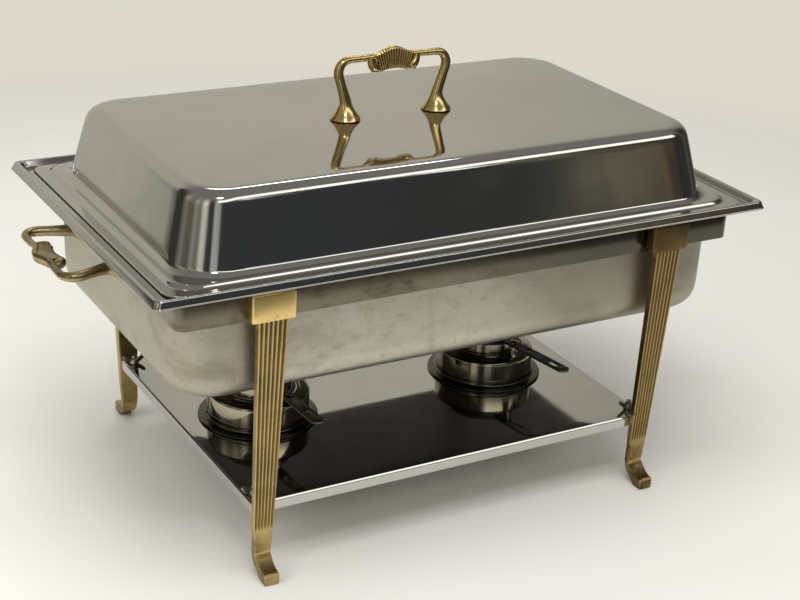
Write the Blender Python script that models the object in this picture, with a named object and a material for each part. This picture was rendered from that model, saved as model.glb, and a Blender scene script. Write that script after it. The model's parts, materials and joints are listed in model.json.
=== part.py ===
# Chafing dish food warmer, in metres with +Z up.
# The origin is on the table under the middle of the dish. X runs along the dish and -Y is the front.

import bmesh
import bpy
from math import cos, pi, radians, sin
from mathutils import Matrix, Vector

# Fits
GAP = 0.0003            # between faces that rest on each other
SCREW_PLAY = 0.0003     # all round a shank in its hole

# How finely round shapes are cut
CORNER_STEPS = 5        # flats in one rounded corner of a pan
HEEL_STEPS = 4          # flats in the rounding along a pan's bottom
TURNED_STEPS = 28       # sides of a cup
SCREW_STEPS = 10        # sides of a screw
HANDLE_STEPS = 12       # sides of a handle's bar
HANDLE_BEND_STEPS = 3   # flats between two places along a handle
SMOOTH_ANGLE = radians(35)

# Frame band that carries the pans
BAND_LENGTH = 0.530
BAND_WIDTH = 0.312
BAND_BOTTOM = 0.2325
BAND_HEIGHT = 0.0297
BAND_SHEET = 0.0015
BAND_CORNER = 0.009

# Water pan
PAN_SHEET = 0.0010
PAN_CLEAR_X = 0.0012    # from the screw heads inside the band to the pan's wall
PAN_CLEAR_Y = 0.0010
PAN_DEPTH = 0.1007      # from the seat down to the inside of the bottom
PAN_DRAFT = 0.0012      # how far each wall leans in
PAN_CORNER = 0.035
PAN_HEEL = 0.023        # rounding between wall and bottom
PAN_SEAT_BEND = 0.004   # rounding between wall and seat
PAN_CORNER_SHRINK = 0.8  # how much of the heel's inset comes off the corner
RIM_RIDGE_X = 0.010     # raised edge round the seat
RIM_RIDGE_Y = 0.0078
RIM_RIDGE_HEIGHT = 0.0052
RIM_LIP_HEIGHT = 0.0066
RIM_CORNER = 0.007
RIM_BEND = 0.0015       # chamfer along the rim's edges

# Food pan
FOOD_SHEET = 0.0008
FOOD_LAP_X = 0.006      # flange resting on the water pan's seat
FOOD_LAP_Y = 0.0098
FOOD_PLAY = 0.005       # from the water pan's wall to the food pan's wall
FOOD_DEPTH = 0.065
FOOD_DRAFT = 0.008
FOOD_CORNER = 0.034
FOOD_HEEL = 0.016
FOOD_FLANGE_CORNER = 0.030
FOOD_BEND = 0.0024      # chamfer between flange and wall

# Lid
LID_SHEET = 0.0010
LID_LAP_X = 0.010       # past the food pan's flange
LID_LAP_Y = 0.0035
LID_PLAY_X = 0.005      # to the raised edge of the rim
LID_PLAY_Y = 0.0027
LID_HEIGHT = 0.0652
LID_FLANGE_X = 0.0215   # from the lid's edge to the foot of its wall
LID_FLANGE_Y = 0.0182
LID_HEM = 0.0016        # turned-down edge of the flange
LID_HEM_INSET = 0.0008
LID_LEDGE = 0.45        # share of the flange that lies flat
LID_RISER = 0.11        # share of the flange taken by the step up to the bead
LID_BEAD_HEIGHT = 0.003
LID_BEAD_FOOT = 0.0045  # from the bead's inner edge to the foot of the wall
LID_LEDGE_CORNER = 0.021
LID_DRAFT = 0.0115
LID_SHOULDER = 0.011    # rounding between wall and top
LID_CORNER = 0.037      # at the foot of the wall
LID_TOP_CORNER = 0.029
LID_FLANGE_CORNER = 0.014

# Handles of the lid and of the two ends, one casting used three times
HANDLE_SPREAD = 0.0905  # between the screws
HANDLE_BAR_HEIGHT = 0.0520  # middle line of the bar above the feet
HANDLE_LEAN = 0.0078    # the arms lean out by this much
HANDLE_LEAN_DROP = 0.0120  # the widest place below the bar's middle line
HANDLE_CORNER = 0.0105  # from the widest place in to the start of the bar
HANDLE_ARM = 0.0039
HANDLE_BAR = 0.0030
HANDLE_FOOT = 0.0136
HANDLE_FOOT_EDGE = 0.0018
HANDLE_WAIST = 0.0082
HANDLE_WAIST_HEIGHT = 0.0080
HANDLE_NECK = 0.0044
HANDLE_NECK_HEIGHT = 0.0150
HANDLE_SKIN = 0.0050    # metal left between the end of the bore and the neck
FAN_REACH = 0.0195      # from the middle of the fan to a curled end
FAN_CURL = 0.0065       # from a curled end to the plain bar
FAN_THICKNESS = 0.0080
FAN_RISE = 0.0085       # above the bar's middle line
FAN_DROP = 0.0110       # below it
CURL_RISE = 0.0020
CURL_DROP = 0.0140
END_HANDLE_CLEAR = 0.0021  # from the top of the band to the foot of an end handle

# Screws of the handles and legs
SCREW_SHANK = 0.0020
SCREW_HEAD = 0.0044
SCREW_HEAD_HEIGHT = 0.0020
HEAD_CHAMFER = 0.0009   # round the outer face of a head
TIP_CHAMFER = 0.0006    # round the end of a shank
SCREW_TIP_PLAY = 0.0015  # left free at the end of a blind hole

# Legs
LEG_SPACING = 0.380
BLOCK_WIDTH = 0.0376
BLOCK_DEPTH = 0.0125
BLOCK_LOW_MARGIN = 0.0020  # from the band's edges to the block
BLOCK_TOP_MARGIN = 0.0032
BLOCK_BEVEL = 0.0008
BLOCK_SKIN = 0.0030     # metal left between the end of the bore and the block's face
LEG_RECESS = 0.0013     # leg face behind the block's face
LEG_SLOPE = 0.0645      # how far the leg leans in for each unit of height
LEG_TOP_WIDTH = 0.0255
LEG_ANKLE_WIDTH = 0.0180
LEG_TOP_DEPTH = 0.0071
LEG_ANKLE_DEPTH = 0.0059
LEG_ANKLE_HEIGHT = 0.047
FLUTE_COUNT = 6
FLUTE_DEPTH = 0.0009
FLUTE_HALF_WIDTH = 0.32  # share of the distance between flutes
FLUTE_EDGE = 0.4        # the same, left over at the two sides together
FLUTE_RUNOUT = 0.002
HOLLOW_DEPTH = 0.0034
HOLLOW_WALL = 0.0026
HOLLOW_START = 0.022    # above the shelf
HOLLOW_STOP = 0.0085    # below the block
TOE_REACH = 0.0171      # toe tip in front of the band
TOE_WIDTH = 0.0130
TOE_HEIGHT = 0.0110
TOE_DIP = 0.0007        # hollow along the top of the toe
# Foot from toe to ankle. Distances are behind the ankle's face, heights are shares of the ankle's height.
# Each row is the instep's distance and height, the heel's distance and height, and the width's share
# from toe to ankle.
FOOT_OUTLINE = (
    (-0.0071, 0.285, -0.0065, 0.000, 0.0),
    (-0.0022, 0.365, 0.0001, 0.115, 0.0),
    (0.0009, 0.415, 0.0059, 0.213, 0.3),
    (0.0012, 0.560, 0.0081, 0.436, 0.5),
    (0.0004, 0.770, 0.0065, 0.713, 0.7),
)

# Shelf for the burners
SHELF_TOP = 0.066
SHELF_SHEET = 0.0010
SHELF_FLANGE = 0.0095
SHELF_END = 0.0014      # past the notch for a leg's lug
SHELF_CORNER = 0.003
SHELF_BEND = 0.0012     # chamfer along the shelf's edges
LUG_WIDTH = 0.012
LUG_END = 0.0105        # behind the shelf screw
LUG_THICKNESS = 0.0072
LUG_ROOT = 0.003        # sunk into the leg
NOTCH_PLAY = 0.0006
WING_CLEAR = 0.0035     # from the leg's back to a wing that points at it
STUD_SHANK = 0.0023
STUD_HEAD = 0.0048
STUD_HEAD_HEIGHT = 0.0028
STUD_END = 0.0028       # screw end above the wing nut
NUT_HEIGHT = 0.0052
NUT_RADIUS = 0.0046
NUT_TOP_RADIUS = 0.0038
WING_SPAN = 0.0115      # wing tip from the screw's axis
WING_RISE = 0.0038      # wing tip above the hub
WING_THICKNESS = 0.0018
WING_ROOT = 0.0010      # bottom of the wing above the hub's foot
WING_TIP = 0.0030       # height of the wing's outer edge

# Burners
LEFT_BURNER = (-0.126, -0.005)
RIGHT_BURNER = (0.111, -0.008)
LEFT_BURNER_TURN = radians(3)
RIGHT_BURNER_TURN = radians(10)
CUP_SHEET = 0.0010
CUP_BRIM = 0.0540
CUP_BRIM_HEIGHT = 0.0034
CUP_BRIM_ROLL = 0.0014  # rounding of the brim's upper edge
CUP_DRUM = 0.0460
CUP_DRUM_HEIGHT = 0.0252
CUP_COLLAR = 0.0292
CUP_COLLAR_HEIGHT = 0.0125
CUP_BEND = 0.0016
CUP_INNER_BEND = 0.0012
CUP_EDGE = 0.0004       # chamfer on the collar's edge
COVER_LAP = 0.0020      # past the collar
COVER_SHEET = 0.0014
COVER_EDGE = 0.0007     # chamfer round the cover
LEVER_WIDTH = 0.012
LEVER_SHEET = 0.0020
LEVER_END = 0.110       # outer end from the cup's axis
LEVER_END_STEPS = 6     # flats in a round end
SLOT_WIDTH = 0.0054
SLOT_LENGTH = 0.011
SLOT_FROM_PIVOT = 0.0115
SLOT_FROM_END = 0.012
RIVET_SHANK = 0.0020
RIVET_HEAD = 0.0040
RIVET_TOP = 0.0028      # radius of the head's flat end
RIVET_HEAD_HEIGHT = 0.0016
SINK_RADIUS = 0.0034    # flush lower end of the cover's rivet
SINK_DEPTH = 0.0011
PIVOT_SPACER = 0.0036

# Levels that follow from the sizes above
BAND_TOP = BAND_BOTTOM + BAND_HEIGHT
BLOCK_BOTTOM = BAND_BOTTOM + BLOCK_LOW_MARGIN
BLOCK_TOP = BAND_TOP - BLOCK_TOP_MARGIN
LEG_SCREW_LEVEL = (BLOCK_BOTTOM + BLOCK_TOP) / 2
END_HANDLE_LEVEL = BAND_TOP - END_HANDLE_CLEAR - HANDLE_FOOT
SEAT_TOP = BAND_TOP + GAP + PAN_SHEET
FOOD_FLANGE_TOP = SEAT_TOP + GAP + FOOD_SHEET
LID_FLANGE_TOP = FOOD_FLANGE_TOP + GAP + LID_SHEET
LID_TOP = LID_FLANGE_TOP + LID_HEIGHT
LUG_TOP = SHELF_TOP - SHELF_SHEET - GAP
HOLLOW_BOTTOM = SHELF_TOP + HOLLOW_START
HOLLOW_TOP = BLOCK_BOTTOM - HOLLOW_STOP
COVER_LEVEL = CUP_DRUM_HEIGHT + CUP_COLLAR_HEIGHT + GAP
LEVER_LEVEL = COVER_LEVEL + COVER_SHEET + GAP
SHOULDER_LEVEL = CUP_DRUM_HEIGHT - CUP_SHEET - GAP

# Reaches that follow from the sizes above
BLOCK_BORE = BLOCK_DEPTH - BLOCK_SKIN
HANDLE_BORE = HANDLE_NECK_HEIGHT - HANDLE_SKIN
SCREW_HOLE = SCREW_SHANK + SCREW_PLAY
STUD_HOLE = STUD_SHANK + SCREW_PLAY
RIVET_HOLE = RIVET_SHANK + SCREW_PLAY
STUD_SETBACK = WING_SPAN + WING_CLEAR
COVER_RADIUS = CUP_COLLAR + COVER_LAP
PIVOT_REACH = (COVER_RADIUS + CUP_DRUM) / 2
CUTTER_REACH = 0.010    # how far a cutter stands clear of what it cuts


def clear_scene():
    for old in list(bpy.data.objects):
        bpy.data.objects.remove(old)


def make_material(name, colour, roughness, metallic=1.0):
    made = bpy.data.materials.new(name)
    made.use_nodes = True
    shader = made.node_tree.nodes["Principled BSDF"]
    shader.inputs["Base Color"].default_value = (*colour, 1.0)
    shader.inputs["Roughness"].default_value = roughness
    shader.inputs["Metallic"].default_value = metallic
    return made


def make_empty(name, location, turn=0.0, parent=None):
    empty = bpy.data.objects.new(name, None)
    empty.location = location
    empty.rotation_euler = (0.0, 0.0, turn)
    empty.parent = parent
    bpy.context.collection.objects.link(empty)
    return empty


def make_piece(name, mesh, material, location=(0.0, 0.0, 0.0), rotation=(0.0, 0.0, 0.0), parent=None):
    piece = bpy.data.objects.new(name, mesh)
    if not mesh.materials:
        mesh.materials.append(material)
    mesh.shade_smooth()
    mesh.set_sharp_from_angle(angle=SMOOTH_ANGLE)
    piece.location = location
    piece.rotation_euler = rotation
    piece.parent = parent
    bpy.context.collection.objects.link(piece)
    return piece


def mesh_from(build, name):
    made = bpy.data.meshes.new(name)
    build.to_mesh(made)
    build.free()
    return made


# Skins each ring to the next. Rings turn anticlockwise about the direction they advance in.
def loft(rings, name, start_cap=True, end_cap=True, wrap=False):
    build = bmesh.new()
    loops = [[build.verts.new(point) for point in ring] for ring in rings]
    pairs = list(zip(loops, loops[1:]))
    if wrap:
        pairs.append((loops[-1], loops[0]))
    count = len(loops[0])
    for near, far in pairs:
        for index in range(count):
            following = (index + 1) % count
            build.faces.new((near[index], near[following], far[following], far[index]))
    if start_cap and not wrap:
        build.faces.new(list(reversed(loops[0])))
    if end_cap and not wrap:
        build.faces.new(loops[-1])
    return mesh_from(build, name)


def rounded_ring(half_x, half_y, corner, level):
    points = []
    signs = ((1, 1), (-1, 1), (-1, -1), (1, -1))
    for quarter, (sign_x, sign_y) in enumerate(signs):
        for step in range(CORNER_STEPS + 1):
            angle = pi / 2 * (quarter + step / CORNER_STEPS)
            x = sign_x * (half_x - corner) + corner * cos(angle)
            y = sign_y * (half_y - corner) + corner * sin(angle)
            points.append((x, y, level))
    return points


# A solid of revolution about Z from (radius, height) points.
def turned(profile, name, steps, wrap=False):
    rings = []
    for radius, height in profile:
        angles = [2 * pi * step / steps for step in range(steps)]
        rings.append([(radius * cos(angle), radius * sin(angle), height) for angle in angles])
    return loft(rings, name, wrap=wrap)


def box_mesh(low, high, name, bevel=0.0):
    build = bmesh.new()
    bmesh.ops.create_cube(build, size=1.0)
    for vert in build.verts:
        for axis in range(3):
            middle = (low[axis] + high[axis]) / 2
            vert.co[axis] = middle + vert.co[axis] * (high[axis] - low[axis])
    if bevel:
        bmesh.ops.bevel(build, geom=build.edges[:], offset=bevel, segments=1, affect="EDGES")
    return mesh_from(build, name)


def rod_mesh(radius, low, high, name, steps=SCREW_STEPS):
    return turned([(radius, low), (radius, high)], name, steps)


# Points of a smooth curve through the given ones.
def smooth_points(points, steps):
    ends = [points[0], *points, points[-1]]
    result = []
    for before, start, stop, after in zip(ends, ends[1:], ends[2:], ends[3:]):
        for step in range(steps):
            t = step / steps
            result.append(tuple(
                0.5 * (2 * q + (r - p) * t + (2 * p - 5 * q + 4 * r - s) * t * t
                       + (3 * q - p - 3 * r + s) * t * t * t)
                for p, q, r, s in zip(before, start, stop, after)))
    result.append(tuple(points[-1]))
    return result


def matrix_at(location, rotation=(0.0, 0.0, 0.0)):
    turn = Matrix.Rotation(rotation[2], 4, "Z") @ Matrix.Rotation(rotation[1], 4, "Y")
    return Matrix.Translation(location) @ turn @ Matrix.Rotation(rotation[0], 4, "X")


# The mesh that is left after sheet thickness, joins and cuts. Cutters are (mesh, matrix) pairs.
def carved(mesh, name, joins=(), cuts=(), sheet=0.0):
    body = bpy.data.objects.new(name, mesh)
    bpy.context.collection.objects.link(body)
    helpers = []
    if sheet:
        thicken = body.modifiers.new("sheet", "SOLIDIFY")
        thicken.thickness = sheet
        thicken.offset = -1.0
        thicken.use_even_offset = True
    for operation, shapes in (("UNION", joins), ("DIFFERENCE", cuts)):
        for shape, place in shapes:
            helper = bpy.data.objects.new("helper", shape)
            helper.matrix_world = place
            helper.hide_render = True
            helper.display_type = "WIRE"
            bpy.context.collection.objects.link(helper)
            helpers.append(helper)
            boolean = body.modifiers.new(operation.lower(), "BOOLEAN")
            boolean.operation = operation
            boolean.solver = "EXACT"
            boolean.object = helper
    bpy.context.view_layer.update()
    settled = body.evaluated_get(bpy.context.evaluated_depsgraph_get())
    result = bpy.data.meshes.new_from_object(settled)
    result.name = name
    result.materials.clear()
    for helper in helpers:
        bpy.data.objects.remove(helper)
    bpy.data.objects.remove(body)
    return result


# Half sizes of the nested pans, worked out from the band inwards and then outwards along the rim.
def pan_halves():
    lining = BAND_SHEET + GAP + SCREW_HEAD_HEIGHT + PAN_SHEET
    wall = Vector((BAND_LENGTH / 2 - lining - PAN_CLEAR_X, BAND_WIDTH / 2 - lining - PAN_CLEAR_Y))
    food_flange = wall + Vector((FOOD_LAP_X, FOOD_LAP_Y))
    lid_edge = food_flange + Vector((LID_LAP_X, LID_LAP_Y))
    seat = lid_edge + Vector((LID_PLAY_X, LID_PLAY_Y))
    rim = seat + Vector((RIM_RIDGE_X, RIM_RIDGE_Y))
    return wall, food_flange, lid_edge, seat, rim


# Insets and distances to the flat of a rounded edge, from the wall to the flat.
def heel_steps(radius):
    angles = [pi / 2 * step / HEEL_STEPS for step in range(HEEL_STEPS + 1)]
    return [(radius * (1 - cos(angle)), radius * (1 - sin(angle))) for angle in angles]


def water_pan_mesh():
    wall, _, _, seat, rim = pan_halves()
    ridge_top = SEAT_TOP + RIM_RIDGE_HEIGHT
    corner = RIM_CORNER - RIM_BEND
    rings = [
        rounded_ring(*rim, RIM_CORNER, ridge_top - RIM_LIP_HEIGHT),
        rounded_ring(*rim, RIM_CORNER, ridge_top - RIM_BEND),
        rounded_ring(rim.x - RIM_BEND, rim.y - RIM_BEND, corner, ridge_top),
        rounded_ring((rim.x + seat.x) / 2, (rim.y + seat.y) / 2, corner, ridge_top),
        rounded_ring(*seat, corner, SEAT_TOP + RIM_BEND),
        rounded_ring(seat.x - RIM_BEND, seat.y - RIM_BEND, corner, SEAT_TOP),
        rounded_ring(wall.x + PAN_SEAT_BEND, wall.y + PAN_SEAT_BEND, PAN_CORNER, SEAT_TOP),
        rounded_ring(*wall, PAN_CORNER, SEAT_TOP - PAN_SEAT_BEND),
    ]
    floor = SEAT_TOP - PAN_DEPTH
    for inset, rise in heel_steps(PAN_HEEL):
        lean = PAN_DRAFT + inset
        corner = PAN_CORNER - inset * PAN_CORNER_SHRINK
        rings.append(rounded_ring(wall.x - lean, wall.y - lean, corner, floor + rise))
    return carved(loft(rings, "water_pan_skin", start_cap=False), "water_pan", sheet=PAN_SHEET)


def food_pan_mesh():
    wall, flange, _, _, _ = pan_halves()
    body = wall - Vector((FOOD_PLAY, FOOD_PLAY))
    rings = [
        rounded_ring(*flange, FOOD_FLANGE_CORNER, FOOD_FLANGE_TOP),
        rounded_ring(*body, FOOD_CORNER, FOOD_FLANGE_TOP),
        rounded_ring(body.x - FOOD_BEND, body.y - FOOD_BEND, FOOD_CORNER, FOOD_FLANGE_TOP - FOOD_BEND),
    ]
    floor = FOOD_FLANGE_TOP - FOOD_DEPTH
    for inset, rise in heel_steps(FOOD_HEEL):
        lean = FOOD_DRAFT + inset
        rings.append(rounded_ring(body.x - lean, body.y - lean, FOOD_CORNER - inset, floor + rise))
    return carved(loft(rings, "food_pan_skin", start_cap=False), "food_pan", sheet=FOOD_SHEET)


def lid_mesh():
    _, _, edge, _, _ = pan_halves()
    flange = Vector((LID_FLANGE_X, LID_FLANGE_Y))
    foot = edge - flange
    ledge = edge - flange * LID_LEDGE
    riser = ledge - flange * LID_RISER
    bead = LID_FLANGE_TOP + LID_BEAD_HEIGHT
    rings = [
        rounded_ring(*edge, LID_FLANGE_CORNER, LID_FLANGE_TOP - LID_HEM),
        rounded_ring(edge.x - LID_HEM_INSET, edge.y - LID_HEM_INSET, LID_FLANGE_CORNER, LID_FLANGE_TOP),
        rounded_ring(*ledge, LID_LEDGE_CORNER, LID_FLANGE_TOP),
        rounded_ring(*riser, LID_LEDGE_CORNER, bead),
        rounded_ring(foot.x + LID_BEAD_FOOT, foot.y + LID_BEAD_FOOT, LID_CORNER, bead),
        rounded_ring(*foot, LID_CORNER, bead + LID_BEAD_HEIGHT),
    ]
    for inset, drop in heel_steps(LID_SHOULDER):
        lean = LID_DRAFT + inset
        corner = LID_CORNER + (LID_TOP_CORNER - LID_CORNER) * lean / (LID_DRAFT + LID_SHOULDER)
        rings.append(rounded_ring(foot.x - lean, foot.y - lean, corner, LID_TOP - drop))
    drill = rod_mesh(SCREW_HOLE, LID_TOP - CUTTER_REACH, LID_TOP + CUTTER_REACH, "lid_drill")
    cuts = [(drill, matrix_at((side * HANDLE_SPREAD / 2, 0.0, 0.0))) for side in (-1, 1)]
    return carved(loft(rings, "lid_skin", start_cap=False), "lid_shell", cuts=cuts, sheet=LID_SHEET)


# Middle line and half sizes of the handle from its left foot to the middle, as (x, z, high, thick).
def handle_stations():
    foot = -HANDLE_SPREAD / 2
    bar = HANDLE_BAR_HEIGHT
    widest = foot - HANDLE_LEAN
    bar_start = widest + HANDLE_CORNER
    thick = FAN_THICKNESS / 2

    def fan_station(x, rise, drop):
        return (x, bar + (rise - drop) / 2, (rise + drop) / 2, thick)

    flare = [
        (foot, 0.0, HANDLE_FOOT, HANDLE_FOOT),
        (foot, HANDLE_FOOT_EDGE, HANDLE_FOOT, HANDLE_FOOT),
        (foot, HANDLE_WAIST_HEIGHT, HANDLE_WAIST, HANDLE_WAIST),
    ]
    arm = [
        (foot, HANDLE_NECK_HEIGHT, HANDLE_NECK, HANDLE_NECK),
        (widest, bar - HANDLE_LEAN_DROP, HANDLE_ARM, HANDLE_ARM),
        (bar_start, bar, HANDLE_BAR, HANDLE_BAR),
        (-FAN_REACH - FAN_CURL, bar, HANDLE_BAR, HANDLE_BAR),
        fan_station(-FAN_REACH, CURL_RISE, CURL_DROP),
        fan_station(-FAN_REACH / 2, (CURL_RISE + FAN_RISE) / 2, FAN_DROP),
        fan_station(0.0, FAN_RISE, FAN_DROP),
    ]
    return flare, smooth_points(arm, HANDLE_BEND_STEPS)


# Cast handle with a screw bore in each foot, standing on z = 0 along X.
def handle_mesh():
    flare, arm = handle_stations()
    left = flare + arm
    right = [(-x, z, high, thick) for x, z, high, thick in reversed(left[:-1])]
    stations = left + right
    last_index = len(stations) - 1
    rings = []
    for index, (x, z, high, thick) in enumerate(stations):
        near = stations[max(index - 1, 0)]
        far = stations[min(index + 1, last_index)]
        along = Vector((far[0] - near[0], 0.0, far[1] - near[1])).normalized()
        if index < len(flare):
            along = Vector((0.0, 0.0, 1.0))
        if index > last_index - len(flare):
            along = Vector((0.0, 0.0, -1.0))
        across = Vector((along.z, 0.0, -along.x))
        angles = [2 * pi * step / HANDLE_STEPS for step in range(HANDLE_STEPS)]
        ring = [Vector((x, thick * sin(angle), z)) + across * (high * cos(angle)) for angle in angles]
        rings.append(ring)

    def bore_ring(model, level):
        middle = sum(point[0] for point in model) / len(model)
        scale = SCREW_HOLE / HANDLE_FOOT
        return [(middle + (x - middle) * scale, y * scale, level) for x, y, _ in model]

    first, last = rings[0], rings[-1]
    rings = [bore_ring(first, HANDLE_BORE), bore_ring(first, 0.0), *rings,
             bore_ring(last, 0.0), bore_ring(last, HANDLE_BORE)]
    return loft(rings, "handle")


def screw_profile(shank, head, head_height, length):
    return [
        (head - HEAD_CHAMFER, -head_height),
        (head, HEAD_CHAMFER - head_height),
        (head, 0.0),
        (shank, 0.0),
        (shank, length - TIP_CHAMFER),
        (shank - TIP_CHAMFER, length),
    ]


# Screw whose head rests under z = 0 and whose shank points up.
def screw_mesh(length, name):
    return turned(screw_profile(SCREW_SHANK, SCREW_HEAD, SCREW_HEAD_HEIGHT, length), name, SCREW_STEPS)


def band_mesh():
    half_x, half_y = BAND_LENGTH / 2, BAND_WIDTH / 2
    inner_corner = BAND_CORNER - BAND_SHEET
    inner_x, inner_y = half_x - BAND_SHEET, half_y - BAND_SHEET
    rings = [
        rounded_ring(half_x, half_y, BAND_CORNER, BAND_BOTTOM),
        rounded_ring(half_x, half_y, BAND_CORNER, BAND_TOP),
        rounded_ring(inner_x, inner_y, inner_corner, BAND_TOP),
        rounded_ring(inner_x, inner_y, inner_corner, BAND_BOTTOM),
    ]
    drill = rod_mesh(SCREW_HOLE, -CUTTER_REACH, CUTTER_REACH, "band_drill")
    cuts = []
    for side in (-1, 1):
        for end in (-1, 1):
            leg_hole = (side * LEG_SPACING / 2, end * half_y, LEG_SCREW_LEVEL)
            cuts.append((drill, matrix_at(leg_hole, (pi / 2, 0.0, 0.0))))
            handle_hole = (side * half_x, end * HANDLE_SPREAD / 2, END_HANDLE_LEVEL)
            cuts.append((drill, matrix_at(handle_hole, (0.0, pi / 2, 0.0))))
    return carved(loft(rings, "band_ring", wrap=True), "frame_band", cuts=cuts)


# The leg stands with its block's back on y = 0 and its face towards -Y.
def leg_face(level):
    return -(BLOCK_DEPTH - LEG_RECESS) + (BLOCK_BOTTOM - level) * LEG_SLOPE


def leg_share(level):
    return (level - LEG_ANKLE_HEIGHT) / (BLOCK_BOTTOM - LEG_ANKLE_HEIGHT)


def leg_depth(level):
    return LEG_ANKLE_DEPTH + (LEG_TOP_DEPTH - LEG_ANKLE_DEPTH) * leg_share(level)


def leg_back(level):
    return leg_face(level) + leg_depth(level)


def leg_width(level):
    return LEG_ANKLE_WIDTH + (LEG_TOP_WIDTH - LEG_ANKLE_WIDTH) * leg_share(level)


# Outline of one cut through the leg, from a point on its face to a point on its back.
def leg_ring(face, back, width, flute=0.0):
    face, back = Vector((0.0, *face)), Vector((0.0, *back))
    inward = (back - face).normalized()
    pitch = width / (FLUTE_COUNT + FLUTE_EDGE)
    points = [face - Vector((width / 2, 0.0, 0.0))]
    for index in range(FLUTE_COUNT):
        middle = (index - (FLUTE_COUNT - 1) / 2) * pitch
        for shift, depth in ((-FLUTE_HALF_WIDTH, 0.0), (0.0, flute), (FLUTE_HALF_WIDTH, 0.0)):
            points.append(face + Vector((middle + shift * pitch, 0.0, 0.0)) + inward * depth)
    points.append(face + Vector((width / 2, 0.0, 0.0)))
    points.append(back + Vector((width / 2, 0.0, 0.0)))
    points.append(back - Vector((width / 2, 0.0, 0.0)))
    return points


def foot_rings():
    instep = leg_face(LEG_ANKLE_HEIGHT)
    toe_middle = (instep + FOOT_OUTLINE[0][2] - TOE_REACH) / 2
    rings = [
        leg_ring((-TOE_REACH, TOE_HEIGHT), (-TOE_REACH, 0.0), TOE_WIDTH),
        leg_ring((toe_middle, TOE_HEIGHT - TOE_DIP), (toe_middle, 0.0), TOE_WIDTH),
    ]
    for face_shift, face_share, heel_shift, heel_share, share in FOOT_OUTLINE:
        face = (instep + face_shift, LEG_ANKLE_HEIGHT * face_share)
        heel = (instep + heel_shift, LEG_ANKLE_HEIGHT * heel_share)
        rings.append(leg_ring(face, heel, TOE_WIDTH + (LEG_ANKLE_WIDTH - TOE_WIDTH) * share))
    return rings


def leg_bar_mesh():
    rings = foot_rings()
    flute_end = LEG_ANKLE_HEIGHT + FLUTE_RUNOUT
    cuts = ((LEG_ANKLE_HEIGHT, 0.0), (flute_end, FLUTE_DEPTH), (LEG_SCREW_LEVEL, FLUTE_DEPTH))
    for level, flute in cuts:
        face, back = (leg_face(level), level), (leg_back(level), level)
        rings.append(leg_ring(face, back, leg_width(level), flute))
    return loft(rings, "leg_bar")


def leg_hollow_mesh():
    rings = []
    for level in (HOLLOW_BOTTOM, HOLLOW_TOP):
        half = leg_width(level) / 2 - HOLLOW_WALL
        near, far = leg_back(level) - HOLLOW_DEPTH, leg_back(level) + CUTTER_REACH
        rings.append([(-half, near, level), (half, near, level), (half, far, level), (-half, far, level)])
    return loft(rings, "leg_hollow")


def leg_mesh():
    block = box_mesh((-BLOCK_WIDTH / 2, -BLOCK_DEPTH, BLOCK_BOTTOM), (BLOCK_WIDTH / 2, 0.0, BLOCK_TOP),
                     "leg_block", BLOCK_BEVEL)
    lug_low = (-LUG_WIDTH / 2, leg_back(LUG_TOP) - LUG_ROOT, LUG_TOP - LUG_THICKNESS)
    lug = box_mesh(lug_low, (LUG_WIDTH / 2, stud_offset() + LUG_END, LUG_TOP), "leg_lug")
    bore = rod_mesh(SCREW_HOLE, -BLOCK_BORE, CUTTER_REACH, "leg_bore")
    bore_place = matrix_at((0.0, 0.0, LEG_SCREW_LEVEL), (-pi / 2, 0.0, 0.0))
    drill = rod_mesh(STUD_HOLE, lug_low[2] - CUTTER_REACH, LUG_TOP + CUTTER_REACH, "lug_drill")
    still = Matrix.Identity(4)
    cuts = [(leg_hollow_mesh(), still), (bore, bore_place), (drill, matrix_at((0.0, stud_offset(), 0.0)))]
    return carved(leg_bar_mesh(), "leg", joins=[(block, still), (lug, still)], cuts=cuts)


# Shelf screw from the block's back plane, in the leg's own frame.
def stud_offset():
    return leg_back(SHELF_TOP) + STUD_SETBACK


def leg_plane():
    return BAND_WIDTH / 2 + GAP


def shelf_halves():
    lowest = SHELF_TOP - SHELF_FLANGE
    half_x = LEG_SPACING / 2 + LUG_WIDTH / 2 + NOTCH_PLAY + SHELF_END
    return half_x, leg_plane() - leg_back(lowest) - GAP


def shelf_mesh():
    half_x, half_y = shelf_halves()
    low = SHELF_TOP - SHELF_FLANGE
    bend = SHELF_BEND
    rings = [
        rounded_ring(half_x, half_y, SHELF_CORNER, low),
        rounded_ring(half_x, half_y, SHELF_CORNER, SHELF_TOP - bend),
        rounded_ring(half_x - bend, half_y - bend, SHELF_CORNER - bend, SHELF_TOP),
    ]
    drill = rod_mesh(STUD_HOLE, SHELF_TOP - CUTTER_REACH, SHELF_TOP + CUTTER_REACH, "shelf_drill")
    notch_half = LUG_WIDTH / 2 + NOTCH_PLAY
    notch_top = SHELF_TOP - SHELF_SHEET - GAP / 2
    notch = box_mesh((-notch_half, -CUTTER_REACH, low - CUTTER_REACH),
                     (notch_half, CUTTER_REACH, notch_top), "shelf_notch")
    cuts = []
    for side in (-1, 1):
        for end in (-1, 1):
            x = side * LEG_SPACING / 2
            cuts.append((drill, matrix_at((x, end * (leg_plane() - stud_offset()), 0.0))))
            cuts.append((notch, matrix_at((x, end * half_y, 0.0))))
    return carved(loft(rings, "shelf_skin", start_cap=False), "shelf", cuts=cuts, sheet=SHELF_SHEET)


# Screw that clamps the shelf, with its head under the lug at z = 0.
def stud_mesh():
    length = LUG_THICKNESS + SHELF_SHEET + GAP * 3 + NUT_HEIGHT + STUD_END
    profile = screw_profile(STUD_SHANK, STUD_HEAD, STUD_HEAD_HEIGHT, length)
    return turned(profile, "shelf_screw", SCREW_STEPS)


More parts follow.
